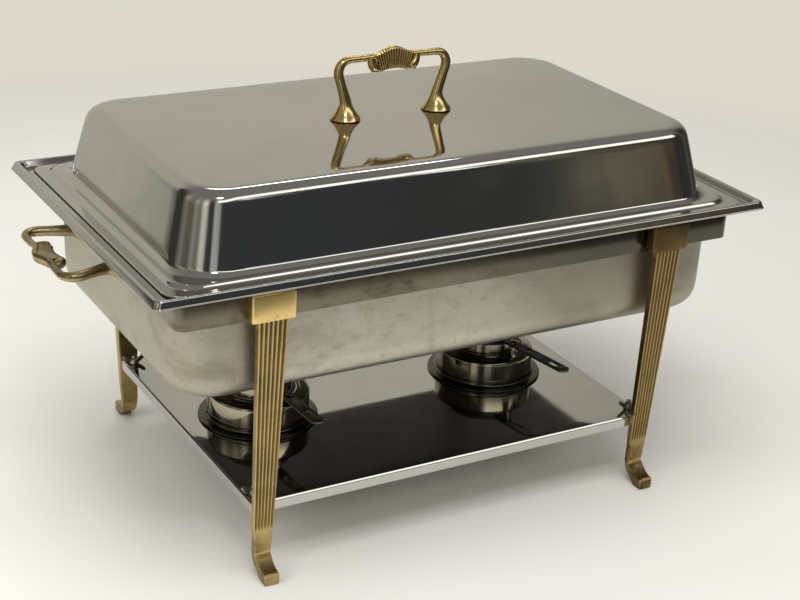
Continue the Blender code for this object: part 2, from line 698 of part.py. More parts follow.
def wing_nut_mesh():
    section = [(NUT_RADIUS, 0.0), (NUT_TOP_RADIUS, NUT_HEIGHT), (STUD_HOLE, NUT_HEIGHT), (STUD_HOLE, 0.0)]
    hub = turned(section, "nut_hub", SCREW_STEPS, wrap=True)
    root = (STUD_HOLE + NUT_TOP_RADIUS) / 2
    middle = (NUT_RADIUS + WING_SPAN) / 2
    half = WING_THICKNESS / 2
    tip = NUT_HEIGHT + WING_RISE
    profile = [(root, WING_ROOT), (NUT_RADIUS, WING_ROOT), (WING_SPAN, tip - WING_TIP),
               (WING_SPAN - WING_THICKNESS / 2, tip), (middle, tip), (root, NUT_HEIGHT - WING_ROOT)]
    wing = loft([[(x, y, z) for x, z in profile] for y in (half, -half)], "nut_wing")
    joins = [(wing, Matrix.Identity(4)), (wing, Matrix.Rotation(pi, 4, "Z"))]
    return carved(hub, "wing_nut", joins=joins)


def cup_mesh():
    top = CUP_DRUM_HEIGHT + CUP_COLLAR_HEIGHT
    drum_inside = CUP_DRUM - CUP_SHEET
    collar_inside = CUP_COLLAR - CUP_SHEET
    roof = CUP_DRUM_HEIGHT - CUP_SHEET
    profile = [
        (CUP_BRIM - CUP_BRIM_HEIGHT, 0.0),
        (CUP_BRIM, CUP_BRIM_HEIGHT / 2),
        (CUP_BRIM - CUP_BRIM_ROLL, CUP_BRIM_HEIGHT),
        (CUP_DRUM + CUP_BEND, CUP_BRIM_HEIGHT),
        (CUP_DRUM, CUP_BRIM_HEIGHT + CUP_BEND),
        (CUP_DRUM, CUP_DRUM_HEIGHT - CUP_BEND),
        (CUP_DRUM - CUP_BEND, CUP_DRUM_HEIGHT),
        (CUP_COLLAR, CUP_DRUM_HEIGHT),
        (CUP_COLLAR, top - CUP_EDGE),
        (CUP_COLLAR - CUP_EDGE, top),
        (collar_inside, top),
        (collar_inside, roof),
        (drum_inside - CUP_INNER_BEND, roof),
        (drum_inside, roof - CUP_INNER_BEND),
        (drum_inside, CUP_SHEET + CUP_INNER_BEND),
        (drum_inside - CUP_INNER_BEND, CUP_SHEET),
    ]
    drill = rod_mesh(RIVET_HOLE, -CUTTER_REACH, CUTTER_REACH, "cup_drill")
    place = matrix_at((0.0, -PIVOT_REACH, CUP_DRUM_HEIGHT))
    return carved(turned(profile, "cup_turned", TURNED_STEPS), "fuel_cup", cuts=[(drill, place)])


def cover_mesh():
    profile = [
        (COVER_RADIUS - COVER_EDGE, 0.0),
        (COVER_RADIUS, COVER_SHEET / 2),
        (COVER_RADIUS - COVER_EDGE, COVER_SHEET),
    ]
    widest = SINK_RADIUS + SCREW_PLAY + (SINK_RADIUS - RIVET_SHANK)
    countersink = [(widest, -SINK_DEPTH), (RIVET_HOLE, SINK_DEPTH), (RIVET_HOLE, CUTTER_REACH)]
    drill = turned(countersink, "cover_drill", SCREW_STEPS)
    flat = turned(profile, "cover_turned", TURNED_STEPS)
    return carved(flat, "burner_cover", cuts=[(drill, Matrix.Identity(4))])


# Flat bar with round ends, from start to stop along -Y.
def bar_mesh(start, stop, width, low, high, name):
    points = []
    for middle, first in ((start, 0.0), (stop, pi)):
        for step in range(LEVER_END_STEPS + 1):
            angle = first + pi * step / LEVER_END_STEPS
            points.append((width / 2 * cos(angle), -middle + width / 2 * sin(angle)))
    return loft([[(x, y, level) for x, y in points] for level in (low, high)], name)


def lever_mesh():
    bar = bar_mesh(0.0, LEVER_END - LEVER_WIDTH / 2, LEVER_WIDTH, 0.0, LEVER_SHEET, "lever_bar")
    drill = rod_mesh(RIVET_HOLE, -CUTTER_REACH, CUTTER_REACH, "lever_drill")
    cuts = [(drill, Matrix.Identity(4)), (drill, matrix_at((0.0, -PIVOT_REACH, 0.0)))]
    round_end = SLOT_WIDTH / 2
    for start in (PIVOT_REACH + SLOT_FROM_PIVOT, LEVER_END - SLOT_FROM_END - SLOT_LENGTH):
        slot = bar_mesh(start + round_end, start + SLOT_LENGTH - round_end, SLOT_WIDTH,
                        -CUTTER_REACH, CUTTER_REACH, "lever_slot")
        cuts.append((slot, Matrix.Identity(4)))
    return carved(bar, "cover_lever", cuts=cuts)


# Rivet from its lower end, with its upper head's underside at the grip.
def rivet_mesh(lower_end, grip, name):
    head = [(RIVET_SHANK, grip), (RIVET_HEAD, grip), (RIVET_TOP, grip + RIVET_HEAD_HEIGHT)]
    return turned(lower_end + head, name, SCREW_STEPS)


# Pin that the lever swings on, with its lower head's top on z = 0 and a spacer under the lever.
def pivot_mesh():
    low, high = CUP_SHEET + GAP * 2, LEVER_LEVEL - GAP - SHOULDER_LEVEL
    lower_end = [
        (RIVET_TOP, -RIVET_HEAD_HEIGHT),
        (RIVET_HEAD, 0.0),
        (RIVET_SHANK, 0.0),
        (RIVET_SHANK, low),
        (PIVOT_SPACER, low),
        (PIVOT_SPACER, high),
        (RIVET_SHANK, high),
    ]
    return rivet_mesh(lower_end, LEVER_LEVEL + LEVER_SHEET + GAP - SHOULDER_LEVEL, "pivot_rivet")


# Rivet that holds the cover to its lever, flush with the cover's underside on z = 0.
def cover_rivet_mesh():
    lower_end = [(SINK_RADIUS, 0.0), (RIVET_SHANK, SINK_DEPTH)]
    return rivet_mesh(lower_end, LEVER_LEVEL + LEVER_SHEET + GAP - COVER_LEVEL, "cover_rivet")


def place_frame(steel, brass, zinc):
    make_piece("frame_band", band_mesh(), steel)
    leg = leg_mesh()
    grip = BAND_SHEET + GAP * 2
    leg_screw = screw_mesh(grip + BLOCK_BORE - SCREW_TIP_PLAY, "leg_screw")
    stud = stud_mesh()
    nut = wing_nut_mesh()
    for end_name, end in (("front", -1), ("rear", 1)):
        for side_name, side in (("left", -1), ("right", 1)):
            corner = f"{end_name}_{side_name}"
            x = side * LEG_SPACING / 2
            turn = 0.0 if end < 0 else pi
            make_piece(f"leg_{corner}", leg, brass, (x, end * leg_plane(), 0.0), (0.0, 0.0, turn))
            inside = end * (BAND_WIDTH / 2 - BAND_SHEET - GAP)
            make_piece(f"leg_screw_{corner}", leg_screw, zinc, (x, inside, LEG_SCREW_LEVEL),
                       (pi / 2 if end < 0 else -pi / 2, 0.0, 0.0))
            stud_y = end * (leg_plane() - stud_offset())
            make_piece(f"shelf_screw_{corner}", stud, zinc, (x, stud_y, LUG_TOP - LUG_THICKNESS - GAP))
            make_piece(f"wing_nut_{corner}", nut, zinc, (x, stud_y, SHELF_TOP + GAP))
    make_piece("shelf", shelf_mesh(), steel)


def place_handles(handle, brass, zinc):
    grip = BAND_SHEET + GAP * 2
    screw = screw_mesh(grip + HANDLE_BORE - SCREW_TIP_PLAY, "end_handle_screw")
    for side_name, side in (("left", -1), ("right", 1)):
        face = side * (BAND_LENGTH / 2 + GAP)
        inside = side * (BAND_LENGTH / 2 - BAND_SHEET - GAP)
        make_piece(f"end_handle_{side_name}", handle, brass, (face, 0.0, END_HANDLE_LEVEL),
                   (pi / 2, 0.0, side * pi / 2))
        for end_name, end in (("front", -1), ("rear", 1)):
            name = f"end_handle_screw_{side_name}_{end_name}"
            place = (inside, end * HANDLE_SPREAD / 2, END_HANDLE_LEVEL)
            make_piece(name, screw, zinc, place, (0.0, side * pi / 2, 0.0))


def place_lid(handle, steel, brass, zinc):
    make_piece("lid_shell", lid_mesh(), steel)
    make_piece("lid_handle", handle, brass, (0.0, 0.0, LID_TOP + GAP))
    grip = LID_SHEET + GAP * 2
    screw = screw_mesh(grip + HANDLE_BORE - SCREW_TIP_PLAY, "lid_handle_screw")
    for side_name, side in (("left", -1), ("right", 1)):
        place = (side * HANDLE_SPREAD / 2, 0.0, LID_TOP - LID_SHEET - GAP)
        make_piece(f"lid_handle_screw_{side_name}", screw, zinc, place)


def place_burner(side, spot, turn, meshes, steel, dark):
    cup, cover, lever, pivot, cover_rivet = meshes
    foot = make_empty(f"burner_{side}", (*spot, SHELF_TOP + GAP), turn)
    make_piece(f"fuel_cup_{side}", cup, steel, parent=foot)
    make_piece(f"pivot_rivet_{side}", pivot, steel, (0.0, -PIVOT_REACH, SHOULDER_LEVEL), parent=foot)
    hinge = make_empty(f"cover_hinge_{side}", (0.0, -PIVOT_REACH, 0.0), parent=foot)
    make_piece(f"burner_cover_{side}", cover, dark, (0.0, PIVOT_REACH, COVER_LEVEL), parent=hinge)
    make_piece(f"cover_lever_{side}", lever, dark, (0.0, PIVOT_REACH, LEVER_LEVEL), parent=hinge)
    rivet_place = (0.0, PIVOT_REACH, COVER_LEVEL)
    make_piece(f"cover_rivet_{side}", cover_rivet, steel, rivet_place, parent=hinge)


def place_burners(steel, dark):
    meshes = (cup_mesh(), cover_mesh(), lever_mesh(), pivot_mesh(), cover_rivet_mesh())
    place_burner("left", LEFT_BURNER, LEFT_BURNER_TURN, meshes, steel, dark)
    place_burner("right", RIGHT_BURNER, RIGHT_BURNER_TURN, meshes, steel, dark)


def build_dish():
    clear_scene()
    polished = make_material("polished_steel", (0.56, 0.55, 0.52), 0.12)
    satin = make_material("satin_steel", (0.52, 0.50, 0.45), 0.38)
    brass = make_material("satin_brass", (0.62, 0.44, 0.15), 0.30)
    bright_brass = make_material("bright_brass", (0.68, 0.46, 0.13), 0.16)
    zinc = make_material("plated_steel", (0.42, 0.41, 0.39), 0.35)
    dark = make_material("scorched_steel", (0.16, 0.15, 0.13), 0.42)
    place_frame(polished, brass, zinc)
    handle = handle_mesh()
    place_handles(handle, bright_brass, zinc)
    make_piece("water_pan", water_pan_mesh(), satin)
    make_piece("food_pan", food_pan_mesh(), satin)
    place_lid(handle, polished, bright_brass, zinc)
    place_burners(polished, dark)


build_dish()
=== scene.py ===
import json
from math import cos, hypot, pi, radians, sin
import bmesh
import bpy
from mathutils import Matrix, Vector

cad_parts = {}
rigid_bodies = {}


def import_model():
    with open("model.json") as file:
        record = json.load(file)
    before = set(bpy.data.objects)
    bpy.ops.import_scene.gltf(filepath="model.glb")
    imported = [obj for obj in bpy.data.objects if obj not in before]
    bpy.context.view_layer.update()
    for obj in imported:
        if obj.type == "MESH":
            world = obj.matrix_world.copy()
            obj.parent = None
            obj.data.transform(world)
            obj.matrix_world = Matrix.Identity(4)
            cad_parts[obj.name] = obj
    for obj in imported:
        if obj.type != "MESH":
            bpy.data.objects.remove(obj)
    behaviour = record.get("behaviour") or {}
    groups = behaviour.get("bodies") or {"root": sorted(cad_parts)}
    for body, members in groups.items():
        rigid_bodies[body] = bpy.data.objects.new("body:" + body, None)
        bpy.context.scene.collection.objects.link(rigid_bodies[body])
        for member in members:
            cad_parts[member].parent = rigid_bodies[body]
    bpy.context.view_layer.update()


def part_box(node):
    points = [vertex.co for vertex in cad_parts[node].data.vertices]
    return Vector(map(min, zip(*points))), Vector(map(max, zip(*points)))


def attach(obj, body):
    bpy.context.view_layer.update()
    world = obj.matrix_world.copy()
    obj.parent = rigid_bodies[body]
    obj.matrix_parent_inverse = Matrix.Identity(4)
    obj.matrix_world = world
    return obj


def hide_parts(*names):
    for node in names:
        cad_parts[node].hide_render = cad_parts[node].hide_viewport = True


for old in list(bpy.data.objects):
    bpy.data.objects.remove(old)
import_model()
scene = bpy.context.scene


# node trees

def sign(operation, swapped=False):  # what a wire does for one sign, swapped where it stands second
    def work(wire, other):
        first, second = (other, wire) if swapped else (wire, other)
        return wire.desk.maths(operation, first, second)
    return work


class Wire:
    # one output socket, so that sums on it read as plain arithmetic
    __add__, __radd__ = sign("ADD"), sign("ADD", True)
    __sub__, __rsub__ = sign("SUBTRACT"), sign("SUBTRACT", True)
    __mul__, __rmul__ = sign("MULTIPLY"), sign("MULTIPLY", True)
    __truediv__, __rtruediv__ = sign("DIVIDE"), sign("DIVIDE", True)
    __pow__, __rpow__ = sign("POWER"), sign("POWER", True)

    def __init__(self, desk, socket):
        self.desk = desk
        self.socket = socket


class Desk:
    # one node tree, and the only place where nodes are added to it
    def __init__(self, tree):
        self.tree = tree

    def put(self, kind, settings=None, sockets=None, out=0):
        node = self.tree.nodes.new(kind)
        for key, value in (settings or {}).items():
            if key == "stops":
                for index, (place, colour) in enumerate(value):
                    stops = node.color_ramp.elements
                    stop = stops[index] if index < len(stops) else stops.new(place)
                    stop.position = place
                    stop.color = (*colour, 1.0)
            else:
                setattr(node, key, value)
        for key, value in (sockets or {}).items():
            self.feed(node.inputs[key], value)
        return Wire(self, node.outputs[out]) if node.outputs else None

    def feed(self, socket, value):
        if isinstance(value, Wire):
            self.tree.links.new(value.socket, socket)
        elif socket.type == "RGBA":
            socket.default_value = (*value[:3], 1.0)
        else:
            socket.default_value = value

    def maths(self, operation, first, second=0.0):
        return self.put("ShaderNodeMath", {"operation": operation}, {0: first, 1: second})

    def between(self, value, low, high, start=0.0, stop=1.0):  # smooth step from low to high
        return self.put("ShaderNodeMapRange", {"interpolation_type": "SMOOTHSTEP"},
                        {"Value": value, "From Min": low, "From Max": high, "To Min": start, "To Max": stop})

    def blend(self, share, first, second, mode="MIX"):
        return self.put("ShaderNodeMix", {"data_type": "RGBA", "blend_type": mode},
                        {0: share, 6: first, 7: second}, out=2)

    def noise(self, place, scale, detail=3.0, rough=0.5, stretch=None, turn=(0.0, 0.0, 0.0)):
        if stretch:
            place = self.put("ShaderNodeMapping", None,
                             {"Vector": place, "Scale": stretch, "Rotation": turn})
        return self.put("ShaderNodeTexNoise", None,
                        {"Vector": place, "Scale": scale, "Detail": detail, "Roughness": rough})

    def bump(self, height, depth, strength=1.0, onto=None):
        sockets = {"Height": height, "Distance": depth, "Strength": strength}
        if onto:
            sockets["Normal"] = onto
        return self.put("ShaderNodeBump", None, sockets)

    def mark(self, place, kind):  # one of the surface marks listed below
        scale, detail, rough, start, full, *bent = surfaceMarks[kind]
        return self.between(self.noise(place, scale, detail, rough, *bent), start, full)

    def axes(self, vector):  # x, y and z of a vector
        split = self.put("ShaderNodeSeparateXYZ", None, {0: vector})
        return [Wire(self, socket) for socket in split.socket.node.outputs]

    def vector(self, x=0.0, y=0.0, z=0.0):
        return self.put("ShaderNodeCombineXYZ", None, {0: x, 1: y, 2: z})

    def attribute(self, name):  # what the mesh keeps under this name, for a material
        return self.put("ShaderNodeAttribute", {"attribute_name": name}, out="Fac")

    def store(self, geometry, name, value):  # and what a mesh tree puts there
        return self.put("GeometryNodeStoreNamedAttribute", {"data_type": "FLOAT", "domain": "POINT"},
                        {"Geometry": geometry, "Name": name, "Value": value})


# marks on the finishes: noise scale, detail and roughness, the noise levels where a mark starts and is full,
# then its stretch and turn if it has them
surfaceMarks = {
    "smudge": (8.0, 5.0, 0.62, 0.42, 0.70), "drops": (160.0, 3.0, 0.6, 0.66, 0.76),
    "scratch": (1.0, 2.0, 0.5, 0.66, 0.74, (14.0, 900.0, 300.0), (0.0, 0.0, radians(24))),
    "blotch": (17.0, 6.0, 0.66, 0.47, 0.70, (1.0, 1.0, 1.6)), "fleck": (130.0, 4.0, 0.7, 0.57, 0.70),
    "tide": (34.0, 5.0, 0.7, 0.52, 0.66, (1.0, 1.0, 2.6)), "bloom": (11.0, 4.0, 0.6, 0.52, 0.75),
    "drip": (1.0, 4.0, 0.6, 0.56, 0.72, (70.0, 70.0, 7.0)),
    "scrape": (1.0, 3.0, 0.6, 0.60, 0.72, (50.0, 50.0, 420.0), (0.0, radians(32), 0.0)),
    "stain": (30.0, 6.0, 0.7, 0.46, 0.70, (1.0, 1.0, 1.8)), "speck": (520.0, 3.0, 0.6, 0.63, 0.72),
    "pit": (190.0, 2.0, 0.5, 0.67, 0.75), "oldFilm": (75.0, 5.0, 0.65, 0.36, 0.68)}


def weighed(marks, shares):  # sum of the marks, each by its share
    first, *others = [marks[kind] * share for kind, share in shares.items()]
    return sum(others, first)


def startFinish(name, metallic=1.0):
    material = bpy.data.materials.new(name)
    material.use_nodes = True
    desk = Desk(material.node_tree)
    shader = material.node_tree.nodes["Principled BSDF"].inputs
    shader["Metallic"].default_value = metallic
    place = desk.put("ShaderNodeTexCoord", out="Object")
    return material, desk, shader, place


def endFinish(desk, shader, tone, rough, normal):
    for name, value in (("Base Color", tone), ("Roughness", rough), ("Normal", normal)):
        desk.feed(shader[name], value)


# finishes

# below the hem level the lid gets a painted shadow line, where it sits on the rim
lidSteelLook = {"colour": (0.57, 0.56, 0.53), "dull": (0.49, 0.475, 0.44), "rough": 0.04, "haze": 0.07,
                "waves": 0.00014, "lines": (5.0, 420.0, 420.0), "hem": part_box("lid_shell")[0].z + 0.0009,
                "hemBlur": 0.0003, "darkBelow": (0.05, 0.045, 0.038)}
shelfSteelLook = {"colour": (0.55, 0.54, 0.51), "dull": (0.47, 0.455, 0.42), "rough": 0.02, "haze": 0.05,
                  "waves": 0.00008, "lines": (320.0, 6.0, 320.0)}
# below the hem level the cups are darker, fading upwards from the foot
cupSteelLook = {"colour": (0.38, 0.345, 0.26), "dull": (0.24, 0.21, 0.15), "rough": 0.06, "haze": 0.08,
                "waves": 0.00004, "lines": (90.0, 90.0, 700.0), "hem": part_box("fuel_cup_left")[0].z + 0.005,
                "hemBlur": 0.016, "darkBelow": (0.11, 0.10, 0.075)}
polish = {"wear": {"smudge": 0.45, "scratch": 0.25, "drops": 0.30}, "lineRough": 0.03, "scratchRough": 0.05,
          "darkBelowRough": 0.10, "waveScale": 13.0, "lineDepth": 0.00001}


def polishedSteel(name, look):
    material, desk, shader, place = startFinish(name)
    marks = {kind: desk.mark(place, kind) for kind in polish["wear"]}
    lines = desk.noise(place, 1.0, 3.0, 0.6, stretch=look["lines"])  # polishing marks
    tone = desk.blend(weighed(marks, polish["wear"]), look["colour"], look["dull"])
    rough = look["rough"] + marks["smudge"] * look["haze"]
    rough = rough + lines * polish["lineRough"] + marks["scratch"] * polish["scratchRough"]
    if "hem" in look:  # darker below this level: on the lid a painted shadow line where its hem sits on the rim, on the cups darker towards the foot
        height = desk.axes(place)[2]
        darkBelow = desk.between(height, look["hem"], look["hem"] + look["hemBlur"], 1.0, 0.0)
        tone = desk.blend(darkBelow, tone, look["darkBelow"])
        rough = rough + darkBelow * polish["darkBelowRough"]
    slack = desk.bump(desk.noise(place, polish["waveScale"], 1.0, 0.4), look["waves"])  # of the thin sheet
    endFinish(desk, shader, tone, rough, desk.bump(lines + marks["scratch"], polish["lineDepth"], 0.5, slack))
    return material


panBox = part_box("water_pan")
# the film tone on the pan is painted shade: darker to the right and at the left end
panSteelLook = {"colour": (0.58, 0.55, 0.47), "stain": (0.35, 0.31, 0.235), "pale": (0.68, 0.65, 0.58),
                "film": (0.34, 0.315, 0.25),
                "shadeSpans": ((0.0, 0.11, 0.85), (-0.17, -0.25, 0.5)),  # where the painted shade starts, where it is full, and its strength
                "darkUnder": (0.03, 0.027, 0.023), "darkUnderLevel": panBox[0].z + 0.0014, "darkUnderBlur": 0.0030,
                "rimLevel": panBox[1].z - 0.0079, "rimBlur": 0.0006, "rimRough": 0.10, "rough": 0.36}
foodSteelLook = {**panSteelLook, "stain": (0.47, 0.44, 0.38), "rough": 0.28}

# coats of colour in their order, each with the marks it lies on and their shares
satin = {"coats": (("stain", {"blotch": 0.55, "drip": 0.25}), ("pale", {"bloom": 0.55}),
                   ("stain", {"tide": 0.30}), ("stain", {"fleck": 0.38, "scrape": 0.35})),
         "grain": (30.0, 30.0, 1500.0), "grainRough": 0.10, "grainDepth": 0.00002,
         "blotchRough": 0.10, "bloomShine": 0.04, "smearScale": 26.0, "smearDull": 0.5, "smearRough": 0.06,
         "dentScale": 10.0, "dentDepth": 0.0004}


def satinSteel(name, look, rim=True):  # with rim: bright above the rim's level, sooty underneath
    material, desk, shader, place = startFinish(name)
    marks = {kind: desk.mark(place, kind) for _, shares in satin["coats"] for kind in shares}
    grain = desk.noise(place, 1.0, 3.0, 0.6, stretch=satin["grain"])
    tone = look["colour"]
    for coat, shares in satin["coats"]:
        tone = desk.blend(weighed(marks, shares), tone, look[coat])
    along, _, height = desk.axes(place)
    # painted shade along the pan's length
    for clear, full, most in look["shadeSpans"]:
        tone = desk.blend(desk.between(along, clear, full, 0.0, most), tone, look["film"])
    rough = look["rough"] + marks["blotch"] * satin["blotchRough"]
    rough = rough + grain * satin["grainRough"] - marks["bloom"] * satin["bloomShine"]
    # with rim: the lid's bare polished tone above the rim's level, darker on the underside
    if rim:
        darkUnder = desk.between(height, look["darkUnderLevel"], look["darkUnderLevel"] + look["darkUnderBlur"], 1.0, 0.0)
        tone = desk.blend(darkUnder * desk.attribute("under"), tone, look["darkUnder"])
        edge = desk.between(height, look["rimLevel"] - look["rimBlur"], look["rimLevel"] + look["rimBlur"])
        smear = desk.noise(place, satin["smearScale"], 4.0, 0.6)
        bare = desk.blend(smear * satin["smearDull"], lidSteelLook["colour"], lidSteelLook["dull"])
        tone = desk.blend(edge, tone, bare)
        rough = rough * (1.0 - edge) + edge * (look["rimRough"] + smear * satin["smearRough"])
    dents = desk.bump(desk.noise(place, satin["dentScale"], 2.0, 0.5), satin["dentDepth"])
    endFinish(desk, shader, tone, rough, desk.bump(grain + marks["blotch"], satin["grainDepth"], 0.5, dents))
    return material


# the bare tone is painted dark, a painted reflection of the dark room; the film is a brown stain
bandSteelLook = {"shadedBare": (0.070, 0.068, 0.056), "film": (0.205, 0.182, 0.138), "stain": (0.10, 0.083, 0.052),
                 "rough": 0.10, "shadedFrom": -0.08, "shadedTo": 0.13, "leastFilm": 0.15, "stainShare": 0.8,
                 "dirtRough": 0.14, "stainRough": 0.12, "filmRough": 0.06, "grainRough": 0.04,
                 "grain": (22.0, 22.0, 1300.0), "filmDepth": 0.00012}


def stainedSteel(name, look):  # brown film heaviest at the left end; to the right the bare steel is painted dark, a painted reflection of the dark room
    material, desk, shader, place = startFinish(name)
    along = desk.axes(place)[0]
    filmShare = desk.between(along, look["shadedFrom"], look["shadedTo"], 1.0, look["leastFilm"])
    stain = desk.mark(place, "stain")
    film = desk.noise(place, 9.0, 4.0, 0.6)
    grain = desk.noise(place, 1.0, 3.0, 0.6, stretch=look["grain"])
    tone = desk.blend(filmShare, look["shadedBare"], look["film"])
    tone = desk.blend(stain * filmShare * look["stainShare"], tone, look["stain"])
    rough = look["rough"] + filmShare * (look["dirtRough"] + stain * look["stainRough"])
    rough = rough + film * look["filmRough"] + grain * look["grainRough"]
    endFinish(desk, shader, tone, rough, desk.bump(grain * 0.2 + film, look["filmDepth"], 0.6))
    return material


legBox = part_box("leg_front_right")
# the glint colour paints highlights; the dull shares paint shade on the legs on the right
legBrassLook = {"colour": (0.59, 0.445, 0.185), "tarnish": (0.15, 0.100, 0.036), "pale": (0.64, 0.51, 0.27),
                "bright": (0.98, 0.73, 0.29), "rough": 0.25, "cast": 0.00014, "blotch": 0.15, "dull": 0.30,
                "dullBlock": 0.92, "dullFoot": 0.60, "foot": 0.048, "footBlur": 0.018, "block": 0.2345,
                "blockBlur": 0.0005, "place": (legBox[0].x + legBox[1].x) / 2}
handleBrassLook = {"colour": (0.74, 0.56, 0.22), "tarnish": (0.25, 0.175, 0.065), "pale": (0.80, 0.64, 0.31),
                   "rough": 0.15, "cast": 0.00004, "blotch": 0.10}
endBrassLook = {"colour": (0.40, 0.32, 0.16), "tarnish": (0.12, 0.088, 0.040), "pale": (0.48, 0.40, 0.23),
                "rough": 0.24, "cast": 0.00006, "blotch": 0.60}

casting = {"paleShare": 0.6, "grooveDirt": 0.75, "cloudDirt": 0.5, "pitDirt": 0.70, "speckDirt": 0.14,
           "rubGlintShare": 0.8, "rubClean": 0.9, "cloudRough": 0.10, "dirtRough": 0.16}


def castBrass(name, look):
    material, desk, shader, place = startFinish(name)
    cloud = desk.noise(place, 42.0, 5.0, 0.65)
    speck, pit = (desk.mark(place, kind) for kind in ("speck", "pit"))
    pale = desk.between(cloud, 0.38, 0.72) * casting["paleShare"]
    tone = desk.blend(pale, look["colour"], look["pale"])
    # the groove attribute holds tarnish in the flutes and painted shade on the leg's sides
    tarnishAndShade = desk.attribute("groove") * (casting["grooveDirt"] + cloud * casting["cloudDirt"])
    tarnishAndShade = tarnishAndShade + pit * casting["pitDirt"] + speck * casting["speckDirt"]
    tarnishAndShade = tarnishAndShade + desk.between(cloud, 0.46, 0.66) * look["blotch"]
    if "block" in look:  # dull feet; the blocks on the left painted bright, a painted reflection; painted shade on the legs on the right, darkest on their blocks
        along, _, height = desk.axes(place)
        block = desk.between(height, look["block"] - look["blockBlur"], look["block"])
        right = desk.between(along, 0.0, look["place"])
        tone = desk.blend(block * (1.0 - right), tone, look["bright"])
        tarnishAndShade = tarnishAndShade + right * (look["dull"] + block * (look["dullBlock"] - look["dull"]))
        foot = desk.between(height, look["foot"] - look["footBlur"], look["foot"], look["dullFoot"], 0.0)
        tarnishAndShade = tarnishAndShade + foot * desk.between(cloud, 0.35, 0.65, 0.5, 1.2)
        worn = desk.attribute("worn")  # rubbed edges of the foot: less tarnish, and a painted highlight in the glint colour
        tone = desk.blend(worn * casting["rubGlintShare"], tone, look["bright"])
        tarnishAndShade = tarnishAndShade * (1.0 - worn * casting["rubClean"])
    tarnishAndShade = desk.put("ShaderNodeClamp", None, {"Value": tarnishAndShade})
    tone = desk.blend(tarnishAndShade, tone, look["tarnish"])
    rough = look["rough"] + cloud * casting["cloudRough"] + tarnishAndShade * casting["dirtRough"]
    skin = desk.bump(cloud * 0.6 - pit * 0.8 + speck * 0.1, look["cast"], 0.55)
    endFinish(desk, shader, tone, rough, skin)
    return material


platedLook = {"colour": (0.44, 0.43, 0.40), "dull": (0.24, 0.21, 0.16), "rough": 0.30}
scorchedLook = {"colour": (0.17, 0.16, 0.14), "dull": (0.075, 0.062, 0.05), "rough": 0.34, "heat": 0.35,
                "heatTints": ((0.30, (0.30, 0.20, 0.10)), (0.48, (0.20, 0.16, 0.13)),
                              (0.62, (0.13, 0.14, 0.18)), (0.75, (0.24, 0.22, 0.19)))}
ageing = {"filmRough": 0.16, "grainRough": 0.08, "grainScale": 300.0, "tintScale": 28.0, "depth": 0.00005}


def agedSteel(name, look):
    material, desk, shader, place = startFinish(name)
    film = desk.mark(place, "oldFilm")
    grain = desk.noise(place, ageing["grainScale"], 3.0, 0.6)
    tone = desk.blend(film, look["colour"], look["dull"])
    if "heat" in look:  # straw and blue of hot steel
        band = desk.noise(place, ageing["tintScale"], 2.0, 0.5)
        tint = desk.put("ShaderNodeValToRGB", {"stops": look["heatTints"]}, {"Fac": band})
        tone = desk.blend(look["heat"], tone, tint)
    rough = look["rough"] + film * ageing["filmRough"] + grain * ageing["grainRough"]
    endFinish(desk, shader, tone, rough, desk.bump(grain + film, ageing["depth"], 0.5))
    return material


lidSteel = polishedSteel("lidSteel", lidSteelLook)
shelfSteel = polishedSteel("shelfSteel", shelfSteelLook)
cupSteel = polishedSteel("cupSteel", cupSteelLook)
panSteel = satinSteel("panSteel", panSteelLook)
foodSteel = satinSteel("foodSteel", foodSteelLook, rim=False)
bandSteel = stainedSteel("bandSteel", bandSteelLook)
legBrass = castBrass("legBrass", legBrassLook)
handleBrass = castBrass("handleBrass", handleBrassLook)
endBrass = castBrass("endBrass", endBrassLook)
platedSteel = agedSteel("platedSteel", platedLook)
scorchedSteel = agedSteel("scorchedSteel", scorchedLook)
print("finishes:", len(bpy.data.materials))


# mesh tools

sides = (("left", -1), ("right", 1))
corners = [(endName, sideName, end, side) for endName, end in (("front", -1), ("rear", 1))
           for sideName, side in sides]


def standing(node):  # middle of a solid's box, at the level of its lowest point
    low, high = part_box(node)
    return Vector(((low.x + high.x) / 2, (low.y + high.y) / 2, low.z))


def placed(name, data):  # new object in the scene
    thing = bpy.data.objects.new(name, data)
    scene.collection.objects.link(thing)
    return thing


def settled(holder, name):  # plain mesh of an object and its modifiers, object removed
    bpy.context.view_layer.update()
    mesh = bpy.data.meshes.new_from_object(holder.evaluated_get(bpy.context.evaluated_depsgraph_get()))
    mesh.name = name
    bpy.data.objects.remove(holder)
    return mesh


def arc(radius, first, last, steps):  # points on a circle, both ends included
    angles = [first + (last - first) * step / steps for step in range(steps + 1)]
    return [(radius * cos(angle), radius * sin(angle)) for angle in angles]


def circle(radius, turns):  # all round, without the first point again
    return arc(radius, 0.0, 2 * pi, turns)[:-1]


def fromBuild(build, name, merge=0.0000001):
    bmesh.ops.remove_doubles(build, verts=build.verts[:], dist=merge)
    bmesh.ops.recalc_face_normals(build, faces=build.faces[:])
    mesh = bpy.data.meshes.new(name)
    build.to_mesh(mesh)
    build.free()
    return mesh


def skinned(rings, name, wrap=False, under=()):  # skin over rings, capped unless it wraps round
    build = bmesh.new()
    layer = build.verts.layers.float.new("under")  # one on the rings of a sheet's other face
    loops = [[build.verts.new(point) for point in ring] for ring in rings]
    for ring, value in zip(loops, under):
        for vert in ring:
            vert[layer] = value
    pairs = list(zip(loops, loops[1:])) + ([(loops[-1], loops[0])] if wrap else [])
    count = len(loops[0])
    for near, far in pairs:
        for index in range(count):
            following = (index + 1) % count
            build.faces.new((near[index], near[following], far[following], far[index]))
    if not wrap:
        build.faces.new(loops[0])
        build.faces.new(loops[-1])
    return fromBuild(build, name)


